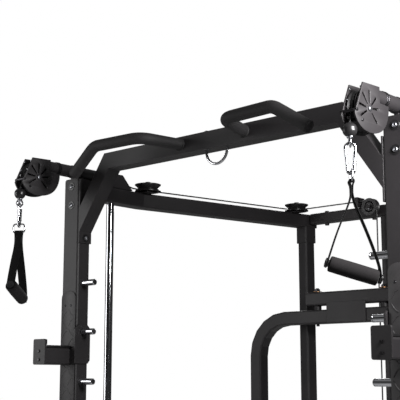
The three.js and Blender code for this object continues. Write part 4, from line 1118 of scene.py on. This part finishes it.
def frame_fasteners(side):
    """Socket bolts on the upright, the brace's bolt, the upright's cap and the rail's pads."""
    k = SIDES[side]
    low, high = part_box("front_bolts_" + side)
    upright_low, upright_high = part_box("front_upright_" + side)
    head = rounded(mm((0, 0), (7, 0), (7, 3), (5.6, 5.4), (2.8, 6), (2.6, 3.6), (0, 3.4)), 0.5 * MM)
    washer = disc(BOLT_WASHER_RADIUS, 1.4 * MM, 0.5 * MM)
    for i, z in enumerate((low.z + BOLT_INSET, high.z - BOLT_INSET)):
        place = Vector(((low.x + high.x) / 2, upright_low.y, z))
        turned(f"upright_bolt_{i}_{side}", "rack", head, place, -Y, "black_steel", ZINC, 32,
               cad=None if i else "front_bolts_" + side)
        turned(f"upright_washer_{i}_{side}", "rack", washer, place, -Y, "moulded_plastic", segments=36)
    low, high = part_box("brace_bolt_" + side)
    inner = min(abs(low.x), abs(high.x)) + 6 * MM
    middle = centre("brace_bolt_" + side)
    place = Vector((k * inner, middle.y, middle.z))
    washer = disc(BOLT_WASHER_RADIUS, 1.6 * MM, 0.5 * MM)
    turned("brace_washer_" + side, "rack", washer, place, X * -k, "moulded_plastic", segments=36)
    head = rounded(mm((0, 0), (7, 0), (6.6, 4), (4, 6.6), (0, 7.1)), 0.6 * MM)
    turned("brace_bolt_head_" + side, "rack", head, place, X * -k, "black_steel", ZINC, 32,
           cad="brace_bolt_" + side)
    middle = centre("front_upright_" + side)
    top = Vector((middle.x, middle.y, upright_high.z - 3.2 * MM))
    cap = plate("upright_cap_" + side, soft_rectangle(*CAP_SIZE, 3 * MM), [], CAP_THICKNESS, 0.8 * MM,
                axes(top, X, Y), "moulded_plastic")
    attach(cap, "rack")
    low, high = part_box("floor_rail_" + side)
    for i, y in enumerate((low.y + RAIL_PAD_INSET, high.y - RAIL_PAD_INSET)):
        place = axes(Vector(((low.x + high.x) / 2, y, high.z + 1.4 * MM)), X, Y)
        pad = plate(f"rail_cap_{i}_{side}", soft_rectangle(*RAIL_PAD_SIZE, 6 * MM), [], RAIL_PAD_THICKNESS,
                    1 * MM, place, "moulded_plastic")
        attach(pad, "rack")


def beam_nuts():
    """Nuts on plated washers, on top of the arch's beam."""
    low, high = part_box("arch_top_beam")
    top = high.z - 16 * MM
    y = low.y + 4.3 * MM + 25 * MM
    washer = disc(17 * MM, BEAM_WASHER_HEIGHT, 0.6 * MM)
    for side, k in SIDES.items():
        for i, x in enumerate(BEAM_BOLTS):
            place = Vector((k * x, y, top + 1.6 * MM))
            turned(f"beam_washer_{i}_{side}", "rack", washer, place, Z, "chrome", BRONZE, 32)
            nut_place = place + Z * BEAM_WASHER_HEIGHT
            hex_bolt(f"beam_nut_{i}_{side}", nut_place, Z, 19 * MM, 9 * MM, "rack", washer=False)


# ---- the scene ----
BEAM_GROOVE = 9 * MM

add_camera()
add_world()
for light in LIGHTS:
    add_area_light(*light)
add_floor()
dress_cad_nodes()
for side in SIDES:
    bracket(side)
    ball_stop(side)
    snap_hook(side)
    link_ring(side)
    handle_strap(side)
    handle_grip(side)
    pull_up_handle(side)
    arm_details(side)
    hook_details(side)
    tread_strip(side)
    pegs(side)
    guide_rod(side)
    held_cable(side)
    frame_fasteners(side)
    for place, axis in (("kink", Z), ("corner", Z), ("centre", Y)):
        wheel(f"{place}_wheel_{side}", f"{place}_pulley_{side}", f"{place}_wheel_{side}", axis, BEAM_GROOVE)
anchor()
bar()
beam_nuts()
